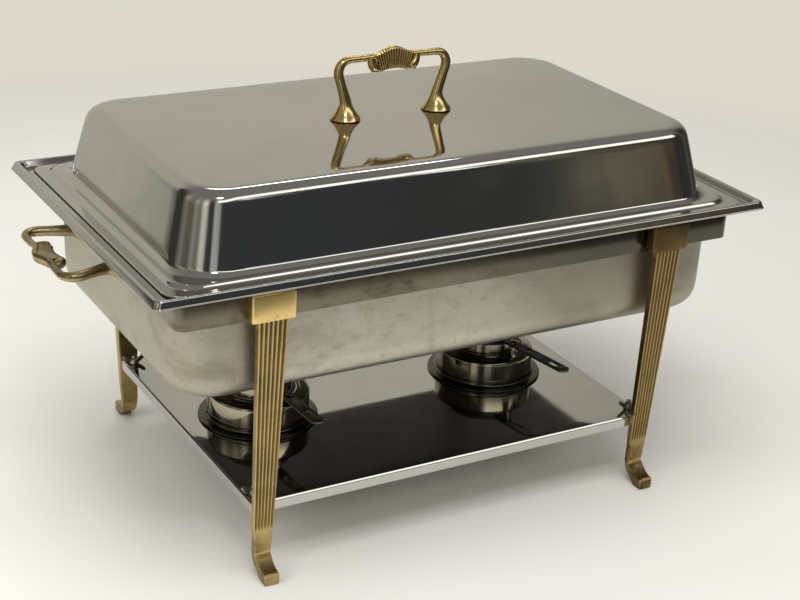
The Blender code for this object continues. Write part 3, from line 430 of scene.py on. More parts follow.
def ringAround(halfX, halfY, corner, level, bends, runs):  # rounded oblong, seen from above
    quarters = []
    for quarter, (sideX, sideY) in enumerate(((1, 1), (-1, 1), (-1, -1), (1, -1))):
        midX, midY = sideX * (halfX - corner), sideY * (halfY - corner)
        bend = arc(corner, pi / 2 * quarter, pi / 2 * (quarter + 1), bends)
        quarters.append([Vector((midX + x, midY + y, level)) for x, y in bend])
    points = []
    for quarter, bend in enumerate(quarters):
        points += bend
        start, stop = bend[-1], quarters[(quarter + 1) % 4][0]
        count = runs[quarter % 2]
        points += [start.lerp(stop, step / count) for step in range(1, count)]
    return points


# marks of a sheet: half length, half width, corner radius, level, and the length that is rounded at the mark
def eased(marks, steps):
    def gap(first, second):
        across = (second[0] - first[0] + second[1] - first[1]) / 2
        return hypot(across, second[3] - first[3])

    path = [marks[0][:4]]
    for before, mark, after in zip(marks, marks[1:], marks[2:]):
        spot, reach = mark[:4], mark[4]
        if reach <= 0:
            path.append(spot)
            continue
        ends = []
        for other in (before[:4], after[:4]):
            share = min(0.49, reach / max(gap(spot, other), 0.0000001))
            ends.append([a + (b - a) * share for a, b in zip(spot, other)])
        for step in range(steps + 1):
            t = step / steps
            path.append(tuple((1 - t) ** 2 * a + 2 * t * (1 - t) * b + t * t * c
                              for a, b, c in zip(ends[0], spot, ends[1])))
    path.append(marks[-1][:4])
    return path


def underside(path, sheet):  # the same path on the sheet's other face
    other = []
    for index, spot in enumerate(path):
        near, far = path[max(index - 1, 0)], path[min(index + 1, len(path) - 1)]
        out, up = (far[0] - near[0] + far[1] - near[1]) / 2, far[3] - near[3]
        length = hypot(out, up) or 1.0
        shift, drop = sheet * up / length, -sheet * out / length
        other.append((spot[0] + shift, spot[1] + shift, max(spot[2] + shift, 0.0004), spot[3] + drop))
    return other


def sheetMesh(name, marks, sheet, bends, runs, steps, roll=0.0):
    top = eased(marks, steps)
    under = underside(top, sheet)
    edge = []
    if roll:  # rolled bead at the free edge, three quarters round
        halfX, halfY, corner, level = top[-1]
        for degrees in range(60, -211, -30):
            out, up = roll * cos(radians(degrees)) - roll * 0.5, roll * sin(radians(degrees))
            edge.append((halfX + out, halfY + out, corner, level - roll * 0.87 + up))
        under = under[:-1]
    rings = [ringAround(*spot, bends, runs) for spot in top + edge + under[::-1]]
    return skinned(rings, name, under=[0.0] * len(top + edge) + [1.0] * len(under))


def turnedMesh(name, marks, turns, steps, wrap=False):  # marks are radius, height and rounded length
    path = eased([(radius, radius, 0.0, height, reach) for radius, height, reach in marks], steps)
    rings = [[(x, y, height) for x, y in circle(max(radius, 0.0002), turns)] for radius, _, _, height in path]
    return skinned(rings, name, wrap)


def curved(points, steps, closed=False):  # smooth line through the given points
    count = len(points)
    result = []
    for index in range(count if closed else count - 1):
        if closed:
            p, q, r, s = (points[(index + shift) % count] for shift in (-1, 0, 1, 2))
        else:
            p, q, r, s = (points[min(max(index + shift, 0), count - 1)] for shift in (-1, 0, 1, 2))
        for step in range(steps):
            t = step / steps
            spot = []
            for a, b, c, d in zip(p, q, r, s):
                bent = (2 * a - 5 * b + 4 * c - d) * t * t + (3 * b - a - 3 * c + d) * t ** 3
                spot.append(b + ((c - a) * t + bent) / 2)
            result.append(tuple(spot))
    return result if closed else result + [tuple(points[-1])]


def plateMesh(name, outlines, thickness, bevel):  # flat plate with holes and eased edges
    flat = bpy.data.curves.new(name, "CURVE")
    flat.dimensions = "2D"
    flat.fill_mode = "BOTH"
    flat.extrude = thickness / 2 - bevel
    flat.bevel_depth = bevel
    flat.bevel_resolution = 2
    flat.offset = -bevel
    for outline in outlines:
        line = flat.splines.new("POLY")
        line.points.add(len(outline) - 1)
        for point, (x, y) in zip(line.points, outline):
            point.co = (x, y, 0.0, 1.0)
        line.use_cyclic_u = True
    mesh = settled(placed(name, flat), name)
    build = bmesh.new()
    build.from_mesh(mesh)
    bpy.data.meshes.remove(mesh)
    return fromBuild(build, name, 0.000002)


def combined(mesh, others, name, operation="UNION"):
    holder = placed(name, mesh)
    helpers = [placed(name + "Helper", other) for other in others]
    for helper in helpers:
        step = holder.modifiers.new(operation, "BOOLEAN")
        step.operation = operation
        step.solver = "EXACT"
        step.object = helper
    result = settled(holder, name)
    for helper in helpers:
        bpy.data.objects.remove(helper)
    return result


def moved(mesh, matrix):
    copy = mesh.copy()
    copy.transform(matrix)
    return copy


def boxMesh(name, low, high, bevel=0.0):
    build = bmesh.new()
    bmesh.ops.create_cube(build, size=1.0)
    for vert in build.verts:
        vert.co = Vector([a + (b - a) * (share + 0.5) for a, b, share in zip(low, high, vert.co)])
    if bevel:
        bmesh.ops.bevel(build, geom=build.edges[:], offset=bevel, segments=4, profile=0.5, affect="EDGES")
    return fromBuild(build, name)


def addPiece(name, mesh, material, body, nodes, sharp=34):
    mesh.materials.clear()
    mesh.materials.append(material)
    mesh.shade_smooth()
    mesh.set_sharp_from_angle(angle=radians(sharp))
    piece = placed(name, mesh)
    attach(piece, body)
    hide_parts(*nodes)
    return piece


def newTree(name, sizes):  # node group with an input for each size, its desk and its wires
    tree = bpy.data.node_groups.new(name, "GeometryNodeTree")
    inputs = [("Geometry", "Geometry"), *((size, "Float") for size in sizes), ("material", "Material")]
    for key, kind in inputs:
        tree.interface.new_socket(key, in_out="INPUT", socket_type="NodeSocket" + kind)
    tree.interface.new_socket("Geometry", in_out="OUTPUT", socket_type="NodeSocketGeometry")
    desk = Desk(tree)
    entry = desk.put("NodeGroupInput").socket.node
    wires = {socket.name: Wire(desk, socket) for socket in entry.outputs if socket.name}
    return tree, desk, wires


def runTree(tree, mesh, name, size, material):  # inputs are set before the first evaluation
    holder = placed(name, mesh)
    step = holder.modifiers.new(tree.name, "NODES")
    step.node_group = tree
    for item in tree.interface.items_tree:
        if item.name == "material":
            step[item.identifier] = material
        elif item.name in size:
            step[item.identifier] = float(size[item.name])
    return settled(holder, name)


def closeTree(desk, geometry, material):  # realised, with its material, into the group's output
    solid = desk.put("GeometryNodeRealizeInstances", None, {0: geometry})
    done = desk.put("GeometryNodeSetMaterial", None, {0: solid, "Material": material})
    desk.put("NodeGroupOutput", None, {0: done})


# lid

# corners and eases run from the top's flat outwards; rings lie in the flat: shares of the size, corner
lidShape = {"box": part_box("lid_shell"), "wall": (0.0215, 0.0182), "bead": (0.0120, 0.0101),
            "ledge": (0.0095, 0.0083), "beadRise": 0.0030, "footRise": 0.0060, "flangeRise": 0.0016,
            "draft": 0.0141, "shoulder": 0.0118, "shoulderRun": 0.022, "footStep": 0.0043, "edgeStep": 0.0007,
            "corners": (0.0230, 0.0330, 0.0385, 0.0225, 0.0210, 0.0140),
            "eases": (0.0022, 0.0014, 0.0013, 0.0013, 0.0009),
            "rings": ((0.3, 0.2, 0.0150), (0.6, 0.5, 0.0200)), "sheet": 0.0009}


def buildLid(size):
    low, high = size["box"]
    edgeX, edgeY, top = high
    footX, footY = edgeX - size["wall"][0], edgeY - size["wall"][1]
    runCorner, topCorner, footCorner, beadCorner, ledgeCorner, flangeCorner = size["corners"]
    footEase, stepEase, beadEase, ledgeEase, edgeEase = size["eases"]
    flange = low.z + size["flangeRise"]
    bead = flange + size["beadRise"]
    lean, step, rim = size["draft"], size["footStep"], size["edgeStep"]
    run = lean + size["shoulderRun"]
    marks = [(edgeX * shareX, edgeY * shareY, corner, top, 0) for shareX, shareY, corner in size["rings"]]
    marks += [
        (footX - run, footY - run, runCorner, top, 0),
        (footX - lean, footY - lean, topCorner, top, size["shoulder"]),
        (footX, footY, footCorner, flange + size["footRise"], footEase),
        (footX + step, footY + step, footCorner, bead, stepEase),
        (edgeX - size["bead"][0], edgeY - size["bead"][1], beadCorner, bead, beadEase),
        (edgeX - size["ledge"][0], edgeY - size["ledge"][1], ledgeCorner, flange, ledgeEase),
        (edgeX - rim, edgeY - rim, flangeCorner, flange, edgeEase),
        (edgeX, edgeY, flangeCorner, low.z, 0),
    ]
    return sheetMesh("lidShell", marks, size["sheet"], bends=14, runs=(26, 16), steps=7)


addPiece("lidShell", buildLid(lidShape), lidSteel, "lid", ["lid_shell"])
print("lid shell done")


# water pan and food pan

# corners run from the floor's flat to the wall; wallMark: inset and depth of a mark on the wall;
# lip from the wall outwards: inset along x and y, corner, drop below the top and the length rounded there
waterPan = {"box": panBox, "flange": (0.0310, 0.0238), "heel": 0.023, "heelRun": 0.020, "draft": 0.0012,
            "corners": (0.0110, 0.0350, 0.0350), "wallMark": (0.0005, 0.040), "topEase": 0.0040,
            "lip": ((0.0097, 0.0075, 0.0060, 0.0052, 0.0012), (0.0066, 0.0052, 0.0058, 0.0001, 0.0013),
                    (0.0026, 0.0024, 0.0060, 0.0001, 0.0013), (0.0004, 0.0004, 0.0066, 0.0055, 0)),
            "sheet": 0.0009, "floorGap": 0.0001, "roll": 0.0008, "runs": (26, 16)}
foodPan = {"box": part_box("food_pan"), "flange": (0.0110, 0.0148), "heel": 0.016, "heelRun": 0.020,
           "draft": 0.008, "corners": (0.0140, 0.0280, 0.0340), "wallMark": (0.0020, 0.014),
           "topEase": 0.0035, "lip": ((0.0, 0.0, 0.030, 0.0, 0),), "sheet": 0.0008, "floorGap": 0.0,
           "roll": 0.0, "runs": (22, 14)}


def buildPan(name, size):
    low, high = size["box"]
    top, floor = high.z - size["lip"][0][3], low.z + size["sheet"] + size["floorGap"]
    wallX, wallY = high.x - size["flange"][0], high.y - size["flange"][1]
    lowX, lowY = wallX - size["draft"], wallY - size["draft"]
    run = size["heel"] + size["heelRun"]
    floorCorner, heelCorner, corner = size["corners"]
    inset, depth = size["wallMark"]
    marks = [
        (lowX * 0.35, lowY * 0.25, 0.0100, floor, 0),
        (lowX - run, lowY - run, floorCorner, floor, 0),
        (lowX, lowY, heelCorner, floor, size["heel"]),
        (wallX - inset, wallY - inset, corner, top - depth, 0),
        (wallX, wallY, corner, top, size["topEase"]),
    ]
    for insetX, insetY, lipCorner, drop, ease in size["lip"]:
        marks.append((high.x - insetX, high.y - insetY, lipCorner, high.z - drop, ease))
    return sheetMesh(name, marks, size["sheet"], bends=12, runs=size["runs"], steps=6, roll=size["roll"])


addPiece("waterPan", buildPan("waterPan", waterPan), panSteel, "water_pan", ["water_pan"])
addPiece("foodPan", buildPan("foodPan", foodPan), foodSteel, "food_pan", ["food_pan"])
print("pans done")


# frame band and shelf

band = {"box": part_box("frame_band"), "corner": 0.009, "sheet": 0.0015, "edge": 0.00045}


def buildBand(size):
    low, high = size["box"]
    edge, sheet = size["edge"], size["sheet"]
    nick = edge * 0.3
    spots = [(edge, low.z), (nick, low.z + nick), (0.0, low.z + edge), (0.0, high.z - edge),
             (nick, high.z - nick), (edge, high.z), (sheet - edge, high.z), (sheet, high.z - edge),
             (sheet, low.z + edge), (sheet - edge, low.z)]
    loops = []
    for inset, level in spots:
        corner = size["corner"] - inset
        loops.append(ringAround(high.x - inset, high.y - inset, corner, level, bends=12, runs=(26, 16)))
    return skinned(loops, "frameBand", wrap=True)


addPiece("frameBand", buildBand(band), bandSteel, "frame", ["frame_band"])

shelf = {"box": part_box("shelf"), "sheet": 0.0010, "corner": 0.0032, "bend": 0.0016, "bendLean": 0.78,
         "flatRun": 0.012, "flatCorners": (0.0010, 0.0012), "eases": (0.0002, 0.0005),
         "notch": (0.0066, 0.0100), "notchGap": 0.00015, "notchDrop": 0.01, "legs": legBrassLook["place"]}


def buildShelf(size):
    low, high = size["box"]
    halfX, halfY, top = high
    lean, run, corner = size["bend"] * size["bendLean"], size["flatRun"], size["corner"]
    innerCorner, outerCorner = size["flatCorners"]
    topEase, sideEase = size["eases"]
    marks = [
        (halfX * 0.35, halfY * 0.25, innerCorner, top, 0),
        (halfX - run, halfY - run, outerCorner, top, 0),
        (halfX - lean, halfY - lean, corner, top, topEase),
        (halfX, halfY, corner, top - size["bend"], sideEase),
        (halfX, halfY, corner, low.z, 0),
    ]
    tray = sheetMesh("shelfTray", marks, size["sheet"], bends=5, runs=(24, 18), steps=5)
    across, along = size["notch"]
    cutters = []
    for _, _, end, side in corners:
        x, y = side * size["legs"], end * halfY
        cutters.append(boxMesh("notch", (x - across, y - along, low.z - size["notchDrop"]),
                               (x + across, y + along, top - size["sheet"] - size["notchGap"])))
    return combined(tray, cutters, "shelf", "DIFFERENCE")


addPiece("shelfTray", buildShelf(shelf), shelfSteel, "frame", ["shelf"])
print("band and shelf done")


# legs

# hollow at the back: depth, wall, low and high end; lug: width, thickness, top
leg = {"toe": 0.0171, "blockWidth": 0.0376, "blockDepth": 0.0125, "blockLow": legBrassLook["block"],
       "blockTop": legBox[1].z, "blockEase": 0.0022, "faceTop": -0.0112, "slope": 0.0645, "ankle": 0.047,
       "ankleWidth": 0.0180, "topWidth": 0.0255, "ankleDepth": 0.0059, "topDepth": 0.0071, "edge": 0.0007,
       "footEdge": 0.0015, "across": 79,
       "flutes": 6, "fluteDepth": 0.00100, "fluteHalf": 0.36, "fluteSpare": 0.4,
       "fluteLow": 0.0485, "fluteFade": 0.0055, "ankleLevels": (0.0415, 0.0527, 0.0530),
       "hollow": (0.0034, 0.0026, 0.088, 0.226), "hollowRamp": 0.003, "lug": (0.0120, 0.0072, 0.0647),
       "lugEnds": (0.002, 0.0312), "lugEase": 0.0008, "ridges": ((0.0014, 0.0200), (-0.0165, 0.0102)),
       "rub": (0.0005, 0.0022), "toeRound": ((0.0, 0.0022), (0.0001, 0.0013), (0.0004, 0.0006))}
legPlace = (legBrassLook["place"], -legBox[0].y - leg["toe"])
# foot from toe to ankle: instep y and z, sole or heel y and z, width
footLine = [
    (-0.0163, 0.0106, -0.0163, 0.0000, 0.0130), (-0.0138, 0.0109, -0.0132, 0.0000, 0.0130),
    (-0.0104, 0.0117, -0.0098, 0.0000, 0.0130), (-0.0070, 0.0133, -0.0060, 0.0000, 0.0130),
    (-0.0036, 0.0158, -0.0030, 0.0026, 0.0130), (-0.0010, 0.0184, 0.0010, 0.0054, 0.0131),
    (0.0010, 0.0198, 0.0044, 0.0078, 0.0134), (0.0019, 0.0203, 0.0072, 0.0112, 0.0139),
    (0.0020, 0.0226, 0.0086, 0.0164, 0.0146), (0.0018, 0.0266, 0.0089, 0.0216, 0.0154),
    (0.0013, 0.0362, 0.0075, 0.0338, 0.0168)]


def legSection(face, back, width, across, edge, wall, recess=0.0):  # one ring of the leg, face first
    face, back = Vector((0.0, *face)), Vector((0.0, *back))
    depth = (back - face).length
    inward = (back - face) / depth
    edge = min(edge, depth * 0.3)
    flat = width / 2 - edge
    side = []  # right side, front to back
    for middle, turns in ((edge, (-60, -30, 0)), (depth - edge, (0, 45, 90))):
        for degrees in turns:
            side.append((flat + edge * cos(radians(degrees)), middle + edge * sin(radians(degrees))))
    spots = [(flat * (2 * step / (across - 1) - 1), 0.0) for step in range(across)] + side
    for share in (1.0, 0.97, 0.5, 0.0, -0.5, -0.97, -1.0):
        spots.append(((width / 2 - wall) * share, depth - (recess if abs(share) < 0.99 else 0.0)))
    spots += [(-x, inside) for x, inside in reversed(side)]
    return [face + Vector((x, 0.0, 0.0)) + inward * inside for x, inside in spots]


def evenly(first, last, count):  # evenly spaced levels, without the last
    return [first + (last - first) * step / count for step in range(count)]


def buildLegBar(size):
    low, high = size["blockLow"], size["blockTop"]
    ankle, across, footEdge = size["ankle"], size["across"], size["footEdge"]
    deep, wall, hollowLow, hollowHigh = size["hollow"]
    rise = size["hollowRamp"]

    def upper(level):
        share = (level - ankle) / (low - ankle)
        face = size["faceTop"] + (low - level) * size["slope"]
        width = size["ankleWidth"] + (size["topWidth"] - size["ankleWidth"]) * share
        depth = size["ankleDepth"] + (size["topDepth"] - size["ankleDepth"]) * share
        ramp = min(max(min(level - hollowLow, hollowHigh - level) / rise, 0.0), 1.0)
        edge = size["edge"] if level > ankle else (size["edge"] + footEdge) / 2
        return legSection((face, level), (face + depth, level), width, across, edge, wall, deep * ramp)

    _, tipHigh, _, _, tipWide = footLine[0]
    rings = []
    for behind, inset in size["toeRound"]:
        y = behind - size["toe"]
        face, back = (y, tipHigh - inset), (y, inset * 0.6)
        rings.append(legSection(face, back, tipWide - 2 * inset, across, footEdge, wall))
    for row in curved(footLine, 3):
        rings.append(legSection(row[0:2], (row[2], max(row[3], 0.0)), row[4], across, footEdge, wall))
    foot, bend, shin = size["ankleLevels"]
    levels = evenly(foot, bend, 16) + evenly(shin, hollowLow, 8)
    levels += [hollowLow, hollowLow + rise / 2] + evenly(hollowLow + rise, hollowHigh - rise, 14)
    levels += [hollowHigh - rise, hollowHigh - rise / 2, hollowHigh, (low + high) / 2]
    rings += [upper(level) for level in levels]
    return skinned(rings, "legBar")


def fluteTree(ridges, rub):
    tree, desk, wires = newTree("legFlutes", (
        "flutes", "fluteSpare", "fluteDepth", "fluteHalf", "fluteLow", "fluteFade", "ankle", "blockLow",
        "ankleWidth", "topWidth", "faceTop", "slope"))
    x, y, z = desk.axes(desk.put("GeometryNodeInputPosition"))
    facing = desk.axes(desk.put("GeometryNodeInputNormal"))[0]
    face = wires["faceTop"] + (wires["blockLow"] - z) * wires["slope"]
    onFace = desk.maths("LESS_THAN", desk.maths("ABSOLUTE", y - face), 0.00003)  # within rounding error
    share = (z - wires["ankle"]) / (wires["blockLow"] - wires["ankle"])
    width = wires["ankleWidth"] + (wires["topWidth"] - wires["ankleWidth"]) * share
    pitch = width / (wires["flutes"] + wires["fluteSpare"])
    middle = (wires["flutes"] - 1.0) / 2.0
    order = x / pitch + middle  # counts the flutes from the left, from nought
    nearest = desk.maths("ROUND", order)
    inside = desk.maths("LESS_THAN", desk.maths("ABSOLUTE", nearest - middle), wires["flutes"] / 2.0)
    across = (order - nearest) / wires["fluteHalf"]
    below = desk.maths("MAXIMUM", (wires["fluteLow"] - z) / wires["fluteFade"], 0.0)
    bowl = desk.maths("MAXIMUM", 1.0 - across * across - below * below, 0.0)  # round in both directions
    groove = desk.maths("SQRT", bowl) * inside * onFace
    worn = 0.0
    for ridgeY, ridgeZ in ridges:  # edges of the foot that are rubbed, and painted bright there as a highlight
        away = desk.maths("SQRT", (y - ridgeY) ** 2.0 + (z - ridgeZ) ** 2.0)
        worn = worn + desk.between(away, *rub, 1.0, 0.0)
    sideShade = desk.between(desk.maths("ABSOLUTE", facing), 0.75, 0.95) * 0.5  # painted shade on the leg's sides, growing from the ankle upwards
    tarnishAndShade = desk.maths("MAXIMUM", groove, sideShade * desk.between(z, wires["ankle"], wires["blockLow"] * 0.5))
    marked = desk.store(desk.store(wires["Geometry"], "groove", tarnishAndShade), "worn", worn)
    shift = desk.vector(y=groove * wires["fluteDepth"])
    cut = desk.put("GeometryNodeSetPosition", None, {"Geometry": marked, "Offset": shift})
    closeTree(desk, cut, wires["material"])
    return tree


def buildLeg(size):
    half, deep, ease = size["blockWidth"] / 2, size["blockDepth"], size["blockEase"]
    block = boxMesh("legBlock", (-half, -deep, size["blockLow"]), (half, 0.0, size["blockTop"]), ease)
    wide, thick, top = size["lug"]
    start, end = size["lugEnds"]
    lug = boxMesh("legLug", (-wide / 2, start, top - thick), (wide / 2, end, top), size["lugEase"])
    plain = combined(buildLegBar(size), [block, lug], "leg")
    return runTree(fluteTree(size["ridges"], size["rub"]), plain, "leg", size, legBrass)


legMesh = buildLeg(leg)
for endName, sideName, end, side in corners:
    turn = Matrix.Rotation(0.0 if end < 0 else pi, 4, "Z")
    where = Matrix.Translation((side * legPlace[0], end * legPlace[1], 0.0)) @ turn
    addPiece("leg" + endName.title() + sideName.title(), moved(legMesh, where), legBrass, "frame",
             [f"leg_{endName}_{sideName}"])
print("legs done:", len(legMesh.polygons), "faces each")


# cast handles

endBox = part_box("end_handle_right")
handle = {"spread": 0.0905, "bar": 0.0520, "barRadius": 0.0030, "sides": 20,
          "bell": ((0.0118, 0.0000), (0.0133, 0.0003), (0.0136, 0.0010), (0.0131, 0.0019), (0.0112, 0.0042),
                   (0.0090, 0.0070), (0.0073, 0.0097), (0.0061, 0.0122), (0.0053, 0.0145)),
          # out from the foot, below the bar, radius
          "arm": ((0.0014, 0.0325, 0.0048), (0.0048, 0.0220, 0.0043), (0.0078, 0.0115, 0.0043),
                  (0.0062, 0.0048, 0.0040), (0.0020, 0.0010, 0.0035), (-0.0037, 0.0, 0.0032),
                  (-0.01625, 0.0, 0.0030)),
          "archSpan": 0.0188, "archRise": 0.0055, "archBack": 0.0014, "fanReach": 0.0170, "fanLow": 0.0412,
          "fanDip": 0.0024, "fanFront": 0.0038, "fanTop": 0.0020, "ribs": 15, "ribDepth": 0.0009,
          "fanApex": 0.0030, "fanMiddle": 0.0500, "ribSharp": 2.4, "ribFront": 0.0013,
          # section of the fan: crown and hem back from its face, heel back from the bar's middle
          "fanCrown": ((0.0012, 0.0), (0.0002, -0.0003)), "fanHem": ((0.0008, 0.0006), (0.0022, 0.0)),
          "fanHeel": ((0.0006, 0.0), (0.0017, 0.0008)), "fanGaps": (0.0012, 0.0028),
          "fanSwell": (0.0002, 0.0006), "fanTilt": 0.0003, "fanBack": (0.0022, 0.0006, 0.0018),
          # along the bar, level, radius
          "curl": ((-0.0230, 0.0520, 0.0027), (-0.0218, 0.0482, 0.0036), (-0.0196, 0.0445, 0.0044),
                   (-0.0178, 0.0421, 0.0044)),
          "curlTip": (0.0012, 0.0030), "curlDepth": 1.08, "curlFront": 0.0008, "curlLean": 0.35,
          "endReach": endBox[0].x, "endLevel": (endBox[0].z + endBox[1].z) / 2}


def railLevel(x, size):  # the bar's middle line, arched over the fan
    if abs(x) >= size["archSpan"]:
        return size["bar"]
    return size["bar"] + size["archRise"] * (0.5 + 0.5 * cos(pi * x / size["archSpan"]))


def buildTube(size):
    foot = -size["spread"] / 2
    rows = [(foot, level, radius, 0.0) for radius, level in size["bell"]]
    arm = rows[-1:] + [(foot - out, size["bar"] - drop, radius, 0.0) for out, drop, radius in size["arm"]]
    arch = []
    for step in range(7, -1, -1):
        x = -size["archSpan"] * step / 7
        arch.append((x, railLevel(x, size), size["barRadius"] * 0.95, size["archBack"]))
    left = rows + curved(arm + arch, 4)[1:]
    rows = left + [(-x, level, radius, back) for x, level, radius, back in reversed(left[:-1])]
    rings = []
    bells = len(size["bell"])
    for index, (x, level, radius, back) in enumerate(rows):
        near, far = rows[max(index - 1, 0)], rows[min(index + 1, len(rows) - 1)]
        along = Vector((far[0] - near[0], 0.0, far[1] - near[1])).normalized()
        if index < bells:
            along = Vector((0.0, 0.0, 1.0))
        if index >= len(rows) - bells:
            along = Vector((0.0, 0.0, -1.0))
        across = Vector((along.z, 0.0, -along.x))
        middle = Vector((x, back, level))
        section = circle(radius, size["sides"])
        rings.append([middle + across * out + Vector((0.0, up, 0.0)) for out, up in section])
    return skinned(rings, "handleTube")


def buildFan(size):
    reach, apex, middle = size["fanReach"], size["fanApex"], size["fanMiddle"]
    count = size["ribs"] * 8
    face = -size["fanFront"]
    topGap, lowGap = size["fanGaps"]
    least, more = size["fanSwell"]
    rear, rearSwell, rearGap = size["fanBack"]
    rings = []
    for index in range(count + 1):
        u = reach * (2 * index / count - 1)
        full = 1 - (u / reach) ** 2
        high = railLevel(u, size) + size["fanTop"]
        low = size["fanLow"] - size["fanDip"] * (u / reach) ** 2
        section = [(face + back, high + up) for back, up in size["fanCrown"]]
        for step in range(14):
            t = step / 13
            swell = (least + more * full) * sin(pi * (0.1 + 0.8 * t))
            section.append((face + size["fanTilt"] * t - swell, high - topGap + (low + lowGap - high) * t))
        section += [(face + back, low + up) for back, up in size["fanHem"]]
        section += [(back, low + up) for back, up in size["fanHeel"]]
        for step in range(7):
            t = step / 6
            section.append((rear + rearSwell * sin(pi * t), low + rearGap + (high - low - rearGap) * t))
        rings.append([(u * (z - apex) / (middle - apex), y, z) for y, z in section])  # spreads upwards
    return skinned(rings, "handleFan")


def buildCurl(size, side):  # rolled corner of the fan
    rows = curved(size["curl"], 6)
    lastX, lastZ, lastRadius = rows[-1]
    tipIn, tipDown = size["curlTip"]
    for share in (0.35, 0.65, 0.86, 0.97):  # round at the lower end
        rows.append((lastX + tipIn * share, lastZ - tipDown * share, lastRadius * (1 - share ** 2) ** 0.5))
    deep, front, lean = size["curlDepth"], size["curlFront"], size["curlLean"]
    rings = [[(-side * (x + out), deep * up - front, z + lean * out) for out, up in circle(radius, 16)]
             for x, z, radius in rows]
    return skinned(rings, "handleCurl")


def ribTree():
    tree, desk, wires = newTree("fanRibs", (
        "ribs", "ribDepth", "ribSharp", "ribFront", "fanReach", "fanApex", "fanMiddle", "fanFront"))
    x, y, z = desk.axes(desk.put("GeometryNodeInputPosition"))
    fanwise = x * (wires["fanMiddle"] - wires["fanApex"]) / (z - wires["fanApex"])
    wave = desk.maths("COSINE", fanwise * wires["ribs"] * pi / wires["fanReach"])
    furrow = (0.5 - wave * 0.5) ** wires["ribSharp"]
    inFan = desk.maths("LESS_THAN", desk.maths("ABSOLUTE", fanwise), wires["fanReach"] * 0.985)
    onFront = desk.maths("LESS_THAN", desk.maths("ABSOLUTE", y + wires["fanFront"]), wires["ribFront"])
    groove = furrow * inFan * onFront
    shift = desk.vector(y=groove * wires["ribDepth"])
    cut = desk.put("GeometryNodeSetPosition", None, {"Geometry": wires["Geometry"], "Offset": shift})
    closeTree(desk, desk.store(cut, "groove", groove), wires["material"])
    return tree


def buildHandle(size):
    cast = combined(buildTube(size), [buildFan(size), buildCurl(size, -1), buildCurl(size, 1)], "handle")
    return runTree(ribTree(), cast, "handle", size, handleBrass)


handleMesh = buildHandle(handle)
onLid = Matrix.Translation(standing("lid_handle"))
addPiece("lidHandle", moved(handleMesh, onLid), handleBrass, "lid", ["lid_handle"])
for sideName, side in sides:
    turn = Matrix.Rotation(side * pi / 2, 4, "Z") @ Matrix.Rotation(pi / 2, 4, "X")
    where = Matrix.Translation((side * handle["endReach"], 0.0, handle["endLevel"])) @ turn
    addPiece("endHandle" + sideName.title(), moved(handleMesh, where), endBrass, "frame",
             [f"end_handle_{sideName}"])
print("handles done:", len(handleMesh.polygons), "faces each")


# screws

slottedScrew = {"head": 0.0044, "headHeight": 0.0020, "taper": 0.74, "shank": 0.0020, "length": 0.0101,
                "slot": 0.0010}
shelfScrew = {"head": 0.0048, "headHeight": 0.0028, "taper": 0.74, "shank": 0.0023, "length": 0.0171,
              "slot": 0.0012}


def screwTree():
    tree, desk, wires = newTree("slottedScrews", ("head", "headHeight", "taper", "shank", "length", "slot"))
    wide, tall, length = (wires[key] for key in ("head", "headHeight", "length"))
    head = desk.put("GeometryNodeMeshCone", None, {
        "Vertices": 24, "Radius Top": wide * wires["taper"], "Radius Bottom": wide, "Depth": tall})
    shank = desk.put("GeometryNodeMeshCylinder", None, {  # goes 0.4 of the head's height up into it
        "Vertices": 18, "Radius": wires["shank"], "Depth": length + tall * 0.4})
    lift = desk.vector(z=tall * 0.2 - length * 0.5)
    shank = desk.put("GeometryNodeTransform", None, {"Geometry": shank, "Translation": lift})
    screw = desk.put("GeometryNodeMeshBoolean", {"operation": "UNION", "solver": "EXACT"}, {1: head})
    desk.feed(screw.socket.node.inputs[1], shank)
    blade = desk.put("GeometryNodeMeshCube", None, {"Size": desk.vector(wide * 2.6, wires["slot"], tall)})
    rise = desk.vector(z=tall * 1.05)
    blade = desk.put("GeometryNodeTransform", None, {"Geometry": blade, "Translation": rise})
    screw = desk.put("GeometryNodeMeshBoolean", {"operation": "DIFFERENCE", "solver": "EXACT"},
                     {0: screw, 1: blade})
    aim = desk.put("GeometryNodeInputNamedAttribute", {"data_type": "FLOAT_VECTOR"}, {"Name": "aim"})
    turn = desk.put("FunctionNodeAlignRotationToVector", {"axis": "Z"}, {"Vector": aim})
    rows = desk.put("GeometryNodeInstanceOnPoints", None,
                    {"Points": wires["Geometry"], "Instance": screw, "Rotation": turn})
    closeTree(desk, rows, wires["material"])
    return tree


def pointMesh(name, rows):  # one point for each screw, with the way its head faces
    mesh = bpy.data.meshes.new(name)
    mesh.from_pydata([spot for spot, _ in rows], [], [])
    aim = mesh.attributes.new("aim", "FLOAT_VECTOR", "POINT")
    for item, (_, way) in zip(aim.data, rows):
        item.vector = way
    return mesh


def screwRow(node, aim, size):  # middle of the head's inner face, and the way the head faces
    low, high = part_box(node)
    reach = abs((high - low).dot(Vector(aim))) / 2 - size["headHeight"]
    return (low + high) / 2 + Vector(aim) * reach, aim


